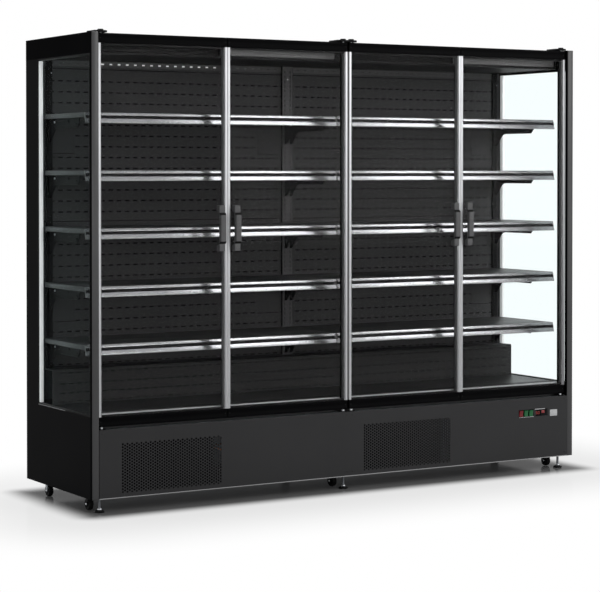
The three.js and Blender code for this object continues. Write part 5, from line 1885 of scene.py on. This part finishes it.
@dataclass
class MachineSpace(SubAssembly):
    """What shows through the grilles and the rear slots: coils, fans and compressor."""

    fin_pitch: float = 9.5
    unit_x: Pair = (-1117.0, 542.0)
    coil_lefts: Pair = (-1117.0, 71.0)
    coil_width: float = 471.0
    coil_y: Pair = (-260.0, -215.0)
    unit_y: Pair = (-260.0, 210.0)
    tray_foot: float = 64.4
    tray_top: float = 68.3
    motor_height: float = 172.0
    compressor_at: Pair = (-330.0, 50.0)

    def build(self) -> None:
        """Stands in for the condensing unit and dresses the fans."""
        shape = Shape("condensing_unit_dressed")
        # The tray in black, as painted shade inside the machine space.
        shape.block(self.unit_x, self.unit_y, (self.tray_foot, self.tray_top), COIL_AND_SHADE_BLACK, 0.6)
        for left in self.coil_lefts:
            self.coil(shape, left)
            self.motor(shape, left + self.coil_width / 2)
        self.compressor(shape)
        shape.piece("cabinet", ["condensing_unit"])
        for side in ("left", "right"):
            dress(f"condenser_fan_{side}", BLACK_PLASTIC)

    def coil(self, shape: Shape, left: float) -> None:
        """A finned block with end plates and tubes, all sprayed black, which also paints the shade inside the
        machine space.

        Args:
            shape: The piece that receives it.
            left: Its left end.
        """
        x, z, y = (left, left + self.coil_width), (self.tray_top - 0.2, self.tray_top + 205), self.coil_y
        for end in ends(x, 2):
            shape.block(end, y, z, COIL_AND_SHADE_BLACK, 0.5, 1)
        for height in ends(z, 2):
            shape.block(x, y, height, COIL_AND_SHADE_BLACK, 0.5, 1)
        for at in steps(x[0] + 8, x[1] - 8, self.fin_pitch):
            shape.block((at, at + 0.8), inset(y, 2), inset(z, 1), COIL_AND_SHADE_BLACK, 0.0)
        for height in steps(z[0] + 22, z[1] - 20, 25.0):
            for depth in inset(y, 12):
                shape.rod((x[0] + 1, depth, height), (x[1] - 1, depth, height), 4.5, COIL_AND_SHADE_BLACK, 10, 0.0)

    def motor(self, shape: Shape, middle: float) -> None:
        """A fan motor on its strap behind the coil.

        Args:
            shape: The piece that receives it.
            middle: Its middle across.
        """
        height = self.motor_height
        can = [(0, -2), (4, -2), (4, 2), (28, 2), (30, 5), (30, 44), (27, 48), (0, 48)]
        shape.turned(can, Axis.Y, (middle, -177.0, height), BLACK_PAINT, 28)
        shape.rod((middle, -199.0, height), (middle, -176.0, height), 4.0, PLATED, 12)
        shape.block(around(middle, 20), (-130.5, -125.0), (self.tray_top - 0.5, height + 30), ZINC, 0.8)

    def compressor(self, shape: Shape) -> None:
        """The domed hermetic compressor with its terminal box and two pipes to the coils.

        Args:
            shape: The piece that receives it.
        """
        (x, y), foot, pipe = self.compressor_at, self.tray_top - 0.5, 5.0
        dome = [(0, 0), (74, 0), (78, 6), (78, 92), (80, 94), (80, 98), (78, 100), (78, 142), (70, 162),
                (52, 178), (26, 188), (0, 190)]
        shape.turned([(r, foot + h) for r, h in dome], Axis.Z, (x, y, 0), BLACK_PAINT, 40)
        shape.block(around(x, 30), (y - 88, y - 74), (foot + 50, foot + 110), BLACK_PLASTIC, 2.0)
        turns = [math.pi * i / 6 for i in range(7)]
        elbow = [(pipe * math.sin(turn), -pipe * math.cos(turn)) for turn in turns]
        for start, end, rise in ((x + 60, x + 150, 40), (x - 60, x - 190, 120)):
            corner = (end, y, foot + rise)
            shape.rod((start, y, foot + rise), corner, pipe, COPPER, 12, 0.0)
            shape.rod(corner, (end, self.coil_y[1] + 1, foot + rise), pipe, COPPER, 12, 0.0)
            shape.turned(elbow, Axis.Z, corner, COPPER, 12)


# --- The whole fridge ---------------------------------------------------------------------------

BRACKET_PLACES = {"left": (-1197.0, -14.0), "right": (14.0, 1197.0)}
SHELF_TOPS = (686.0, 928.0, 1170.0, 1412.0, 1654.0)


def sub_assemblies() -> list[SubAssembly]:
    """Lists the fridge's sub-assemblies.

    Returns:
        Every sub-assembly, in the order of assembly.
    """
    places = ("left", "centre", "right")
    running_gear = [Caster(place, front) for place in places for front in (True, False)]
    feet = [LevellingFoot(place) for place in places]
    shelves = [Shelf(side, level, brackets, top)
               for side, brackets in BRACKET_PLACES.items() for level, top in enumerate(SHELF_TOPS, 1)]
    doors = [GlassDoor(number, number % 2 == 1) for number in range(1, 5)]
    base = [*running_gear, *feet, MachineSpace(), KickPanel(), Controls()]
    inside = [EndFrame(-1), EndFrame(1), Casing(), RearWall(), Uprights(), *shelves, Canopy(), Deck()]
    return [Studio(), *base, *inside, *doors, Hinges()]


def main() -> None:
    """Builds and dresses the fridge."""
    logging.basicConfig(level=logging.INFO, format="%(message)s")
    for part in sub_assemblies():
        part.build()
        log.info("built %s", part)


if __name__ == "__main__":
    main()
